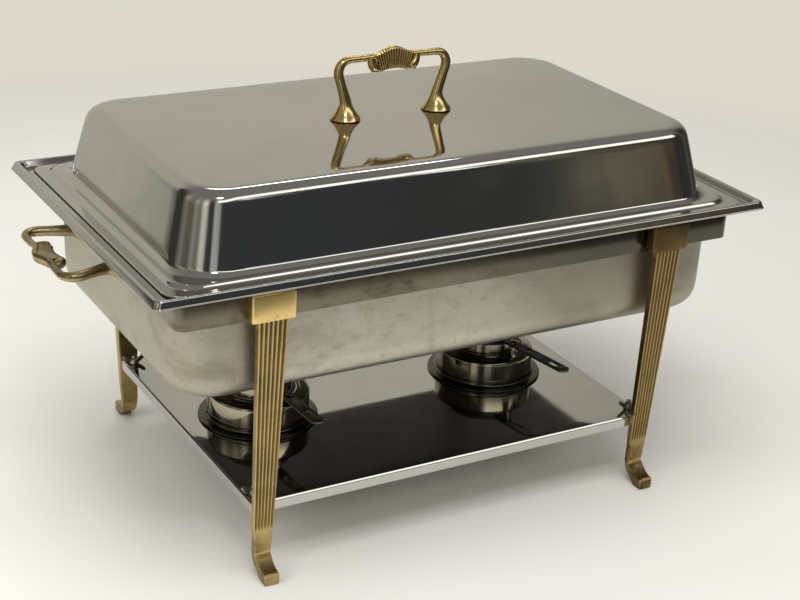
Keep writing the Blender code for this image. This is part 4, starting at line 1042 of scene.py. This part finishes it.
screws = screwTree()
lidAims = {f"lid_handle_screw_{sideName}": (0, 0, -1) for sideName, _ in sides}
legAims = {f"leg_screw_{endName}_{sideName}": (0, -end, 0) for endName, sideName, end, _ in corners}
endAims = {f"end_handle_screw_{sideName}_{endName}": (-side, 0, 0) for sideName, side in sides
           for endName in ("front", "rear")}
shelfAims = {f"shelf_screw_{endName}_{sideName}": (0, 0, -1) for endName, sideName, _, _ in corners}
for name, aims, size, body in (
        ("lidHandleScrews", lidAims, slottedScrew, "lid"), ("legScrews", legAims, slottedScrew, "frame"),
        ("endHandleScrews", endAims, slottedScrew, "frame"), ("shelfScrews", shelfAims, shelfScrew, "frame")):
    points = pointMesh(name, [screwRow(node, aim, size) for node, aim in aims.items()])
    mesh = runTree(screws, points, name, size, platedSteel)
    addPiece(name, mesh, platedSteel, body, list(aims))
print("screws done")


# wing nuts

wingNut = {"thickness": 0.0019, "ease": 0.0005,
           "hub": ((0.0026, 0.0, 0), (0.0044, 0.0, 0.0005), (0.0046, 0.0012, 0.0004),
                   (0.0038, 0.0052, 0.0006), (0.0026, 0.0052, 0)),
           "wing": ((0.0030, 0.0012), (0.0050, 0.0010), (0.0082, 0.0034), (0.0108, 0.0058),
                    (0.0114, 0.0078), (0.0102, 0.0089), (0.0080, 0.0084), (0.0058, 0.0064),
                    (0.0034, 0.0046), (0.0028, 0.0028))}


def buildWingNut(size):
    hub = turnedMesh("nutHub", size["hub"], 28, 3, wrap=True)
    flat = plateMesh("nutWing", [curved(size["wing"], 4, closed=True)], size["thickness"], size["ease"])
    upright = Matrix.Rotation(pi / 2, 4, "X")
    wings = [moved(flat, Matrix.Rotation(turn, 4, "Z") @ upright) for turn in (0.0, pi)]
    return combined(hub, wings, "wingNut")


nutMesh = buildWingNut(wingNut)
for endName, sideName, _, _ in corners:
    node = f"wing_nut_{endName}_{sideName}"
    where = Matrix.Translation(standing(node))
    addPiece("wingNut" + endName.title() + sideName.title(), moved(nutMesh, where), platedSteel, node,
             [node])
print("wing nuts done")


# burners

# turned forms: radius, height above the cup's foot or the cover's level, and the length rounded there
rivetHead = ((0.0020, 0.0420, 0), (0.0040, 0.0420, 0.0003), (0.0037, 0.0432, 0.0008),
             (0.0020, 0.0436, 0.0008), (0.0, 0.0437, 0))
burner = {"turns": {"left": 3.0, "right": 10.0}, "pivot": 0.0386,
          "cup": ((0.0, 0.0, 0), (0.0534, 0.0, 0.0004), (0.0540, 0.0005, 0.0003), (0.0540, 0.0011, 0.0003),
                  (0.0532, 0.0018, 0.0004), (0.0476, 0.0018, 0.0010), (0.0460, 0.0032, 0.0012),
                  (0.0460, 0.0072, 0.0004), (0.0464, 0.0078, 0.0003), (0.0460, 0.0084, 0.0004),
                  (0.0460, 0.0268, 0.0036), (0.0372, 0.0268, 0.0004), (0.0364, 0.0276, 0.0005),
                  (0.0342, 0.0276, 0.0005), (0.0334, 0.0268, 0.0004), (0.0292, 0.0268, 0.0010),
                  (0.0292, 0.0377, 0.0005), (0.0282, 0.0377, 0.0004), (0.0282, 0.0259, 0.0004),
                  (0.0450, 0.0259, 0.0024), (0.0450, 0.0010, 0.0014), (0.0, 0.0010, 0)),
          "cover": ((0.0034, 0.0, 0.0002), (0.0306, 0.0, 0.0004), (0.0312, 0.0006, 0.0003),
                    (0.0308, 0.0014, 0.0005), (0.0255, 0.0014, 0.0004), (0.0247, 0.0010, 0.0004),
                    (0.0023, 0.0010, 0)),
          "coverLevel": 0.0380, "leverLevel": 0.0397,
          "lever": (0.012, 0.0020, 0.110, 0.0034),  # width, sheet, reach and cut corner
          "slots": ((0.0501, 0.0611), (0.0870, 0.0980)), "slotWidth": 0.0054, "hole": 0.0023, "ease": 0.0004,
          "pivotPin": ((0.0, 0.0242, 0), (0.0028, 0.0242, 0.0006), (0.0040, 0.0254, 0.0003),
                       (0.0040, 0.0258, 0), (0.0020, 0.0258, 0), (0.0020, 0.0269, 0),
                       (0.0036, 0.0270, 0.0003), (0.0036, 0.0394, 0.0003), (0.0020, 0.0394, 0), *rivetHead),
          "coverPin": ((0.0, 0.0380, 0), (0.0033, 0.0380, 0), (0.0020, 0.0391, 0), *rivetHead)}


def slotOutline(start, stop, width):  # slot with round ends, along -Y
    half = width / 2
    near = [(x, y - start - half) for x, y in arc(half, 0.0, pi, 8)]
    return near + [(x, y - stop + half) for x, y in arc(half, pi, 2 * pi, 8)]


def barOutline(width, end, chamfer):  # round at the pin, cut corners at the tip
    half = width / 2
    tip = [(-half, chamfer - end), (chamfer - half, -end), (half - chamfer, -end), (half, chamfer - end)]
    return arc(half, 0.0, pi, 12) + tip


def hole(middle, radius):
    return [(x, middle + y) for x, y in circle(radius, 20)]


def buildLever(size):
    width, sheet, end, chamfer = size["lever"]
    outlines = [barOutline(width, end, chamfer), hole(0.0, size["hole"]), hole(-size["pivot"], size["hole"])]
    outlines += [slotOutline(start, stop, size["slotWidth"]) for start, stop in size["slots"]]
    flat = plateMesh("coverLever", outlines, sheet, size["ease"])
    return moved(flat, Matrix.Translation((0.0, 0.0, size["leverLevel"] + sheet / 2)))


cupMesh = turnedMesh("fuelCup", burner["cup"], 96, 4)
coverMesh = turnedMesh("burnerCover", burner["cover"], 64, 4, wrap=True)
coverMesh.transform(Matrix.Translation((0.0, 0.0, burner["coverLevel"])))
leverMesh = buildLever(burner)
pivotMesh = turnedMesh("pivotPin", burner["pivotPin"], 24, 3)
coverPinMesh = turnedMesh("coverPin", burner["coverPin"], 24, 3)
for sideName, degrees in burner["turns"].items():
    spot = standing("fuel_cup_" + sideName)
    where = Matrix.Translation(spot) @ Matrix.Rotation(radians(degrees), 4, "Z")
    onPivot = where @ Matrix.Translation((0.0, -burner["pivot"], 0.0))
    for name, mesh, place, material, body, node, slot in (
            ("fuelCup", cupMesh, where, cupSteel, "burner_", "fuel_cup_", "polished_steel"),
            ("pivotRivet", pivotMesh, onPivot, cupSteel, "burner_", "pivot_rivet_", "polished_steel"),
            ("burnerCover", coverMesh, where, scorchedSteel, "cover_", "burner_cover_", "scorched_steel"),
            ("coverLever", leverMesh, where, scorchedSteel, "cover_", "cover_lever_", "scorched_steel"),
            ("coverRivet", coverPinMesh, where, cupSteel, "cover_", "cover_rivet_", "polished_steel")):
        addPiece(name + sideName.title(), moved(mesh, place), material, body + sideName,
                 [node + sideName])
print("burners done")


# floor, light and camera

floorLook = {"half": 1.6, "colour": (0.84, 0.825, 0.78), "worn": (0.76, 0.745, 0.705), "fade": (0.85, 1.45),
             "mirrorEnd": (-0.64, -0.56), "rough": 0.62}


def buildFloor(look):  # mirrors see it end in front, where the studio is dark
    build = bmesh.new()
    bmesh.ops.create_grid(build, x_segments=8, y_segments=8, size=look["half"])
    mesh = bpy.data.meshes.new("floor")
    build.to_mesh(mesh)
    build.free()
    material, desk, shader, place = startFinish("paleFloor", 0.0)
    mottle = desk.noise(place, 6.0, 4.0, 0.6)
    desk.feed(shader["Base Color"], desk.blend(mottle * 0.25, look["colour"], look["worn"]))
    shader["Roughness"].default_value = look["rough"]
    away = desk.put("ShaderNodeVectorMath", {"operation": "LENGTH"}, {0: place}, out="Value")
    y = desk.axes(place)[1]
    mirrored = desk.put("ShaderNodeLightPath", out="Is Glossy Ray")
    gone = mirrored * desk.between(y, *look["mirrorEnd"], 1.0, 0.0)
    desk.feed(shader["Alpha"], desk.between(away, *look["fade"], 1.0, 0.0) * (1.0 - gone))
    mesh.materials.append(material)
    floor = placed("floor", mesh)


# the studio around the dish: degrees from +X by way of +Y, and what the mirrors see there
studioLook = {
    "walls": (
        (0, (0.10, 0.095, 0.085)), (8, (0.05, 0.05, 0.045)), (24, (0.06, 0.058, 0.05)),
        (36, (0.29, 0.28, 0.24)), (58, (0.57, 0.55, 0.475)), (118, (0.57, 0.55, 0.475)),
        (122, (0.05, 0.055, 0.045)), (148, (0.05, 0.055, 0.045)), (156, (0.19, 0.18, 0.15)),
        (164, (0.28, 0.265, 0.225)), (170, (0.16, 0.155, 0.13)), (184, (0.12, 0.118, 0.10)),
        (192, (0.32, 0.305, 0.255)), (198, (0.20, 0.195, 0.165)), (206, (0.17, 0.165, 0.14)),
        (212, (0.60, 0.58, 0.52)), (221, (0.50, 0.485, 0.43)), (226, (0.05, 0.05, 0.048)),
        (238, (0.05, 0.05, 0.048)), (242, (0.55, 0.56, 0.55)), (254, (0.45, 0.46, 0.46)),
        (258, (0.05, 0.055, 0.055)), (296, (0.05, 0.055, 0.055)), (303, (0.044, 0.047, 0.045)),
        (304, (0.06, 0.062, 0.058)), (305, (0.13, 0.128, 0.10)), (306.2, (0.09, 0.09, 0.078)),
        (307, (0.125, 0.106, 0.074)), (309, (0.07, 0.058, 0.042)), (318, (0.04, 0.04, 0.04)),
        (350, (0.045, 0.044, 0.042)), (355, (0.09, 0.087, 0.08))
    ),
    # bearings, then heights of the way looked along: where each starts and is full, or ends
    "windows": (152, 228), "windowRise": (0.10, 0.40), "windowGain": (1.8, 1.8, 1.75),
    "patches": (303, 314), "patchGain": (1.6, 1.5, 1.35),
    "skylight": (249, 335), "skylightRise": (0.48, 0.52, 0.64, 0.70), "light": (1.9, 1.87, 1.78),
    "tubes": ((294, 295.5), (303, 304.5)), "tubeRise": (0.36, 0.38, 0.46, 0.48),
    "ceiling": (0.245, 0.243, 0.232), "ceilingRise": (0.42, 0.85),
    "ground": (0.20, 0.19, 0.165), "groundRise": (-0.40, -0.10), "fill": (1.5, 1.5, 1.5),
    "seenWall": (0.725, 0.69, 0.605), "seenFloor": (0.80, 0.78, 0.72), "seenRise": (-0.50, -0.36),
}


def buildStudio(look):
    world = bpy.data.worlds.new("studio")
    scene.world = world
    world.use_nodes = True
    desk = Desk(world.node_tree)
    way = desk.put("ShaderNodeTexCoord", out="Generated")
    x, y, z = desk.axes(way)
    around = desk.maths("FRACT", desk.maths("ARCTAN2", y, x) / (2 * pi) + 1.0)
    stops = [(degrees / 360, colour) for degrees, colour in look["walls"]]
    tone = desk.put("ShaderNodeValToRGB", {"stops": stops}, {"Fac": around})

    def sector(bearings, blur=0.01):  # one between the two bearings, nothing outside them
        first, last = (degrees / 360 for degrees in bearings)
        return desk.between(around, first - blur, first) * desk.between(around, last, last + blur, 1.0, 0.0)

    def layer(low, lowFull, highFull, high):  # the same for heights
        return desk.between(z, low, lowFull) * desk.between(z, highFull, high, 1.0, 0.0)

    patch = desk.between(desk.noise(way, 26.0, 2.0, 0.5, stretch=(1.0, 1.0, 0.6)), 0.44, 0.60)
    tone = desk.blend(sector(look["patches"]) * patch, tone, look["patchGain"], "MULTIPLY")
    high = sector(look["windows"]) * desk.between(z, *look["windowRise"])
    tone = desk.blend(high, tone, look["windowGain"], "MULTIPLY")
    tone = desk.blend(desk.between(z, *look["ceilingRise"]), tone, look["ceiling"])
    sky = sector(look["skylight"]) * layer(*look["skylightRise"])
    for bearings in look["tubes"]:
        sky = sky + sector(bearings, 0.001) * layer(*look["tubeRise"])
    tone = desk.blend(sky, tone, look["light"])
    tone = desk.blend(desk.between(z, *look["groundRise"], 1.0, 0.0), tone, look["ground"])
    seen = desk.blend(desk.between(z, *look["seenRise"]), look["seenFloor"], look["seenWall"])
    diffuse = desk.put("ShaderNodeLightPath", out="Is Diffuse Ray")
    tone = desk.blend(diffuse, tone, look["fill"], "MULTIPLY")
    camera = desk.put("ShaderNodeLightPath", out="Is Camera Ray")
    shade = world.node_tree.nodes["Background"].inputs
    desk.feed(shade["Color"], desk.blend(camera, tone, seen))
    shade["Strength"].default_value = 1.0


# name, place, what it faces, width, height, watts
lamps = (
    ("overheadFill", (-0.35, -0.35, 2.0), (0.0, 0.0, 0.1), 1.9, 1.3, 27.0),
    ("topStrip", (0.45, 0.75, 1.65), (0.0, 0.0, 0.30), 0.9, 0.12, 2.5),
    ("leftFill", (-1.5, -0.1, 1.1), (0.0, 0.0, 0.1), 1.2, 0.8, 7.5),
    ("frontKey", (-0.55, -1.25, 2.1), (0.0, 0.0, 0.3), 0.40, 0.22, 4.0),
)


def buildLamps(rows):
    for name, place, target, width, height, watts in rows:
        light = bpy.data.lights.new(name, "AREA")
        light.shape = "RECTANGLE"
        light.size, light.size_y = width, height
        light.energy = watts
        lamp = placed(name, light)
        lamp.location = place
        lamp.rotation_euler = (Vector(target) - Vector(place)).to_track_quat("-Z", "Y").to_euler()
        lamp.visible_camera = False
        lamp.visible_glossy = not name.endswith("Fill")  # fills show in no mirror


cameraView = {"place": (-0.69920, -1.22258, 0.76047), "azimuth": -30.43, "elevation": 23.29, "roll": 2.94,
              "lens": 75.24}


def buildCamera(view):
    azimuth, elevation, roll = (radians(view[key]) for key in ("azimuth", "elevation", "roll"))
    back = Vector((sin(azimuth) * cos(elevation), -cos(azimuth) * cos(elevation), sin(elevation)))
    right = Vector((cos(azimuth), sin(azimuth), 0.0))
    up = back.cross(right)
    turnedRight = right * cos(roll) + up * sin(roll)
    turnedUp = up * cos(roll) - right * sin(roll)
    data = bpy.data.cameras.new("camera")
    data.sensor_width = 36.0
    data.lens = view["lens"]
    camera = placed("camera", data)
    axes = Matrix((turnedRight, turnedUp, back)).transposed().to_4x4()
    camera.matrix_world = Matrix.Translation(view["place"]) @ axes
    scene.camera = camera


buildFloor(floorLook)
buildStudio(studioLook)
buildLamps(lamps)
buildCamera(cameraView)
scene.view_settings.view_transform = "Standard"
print("stage done")
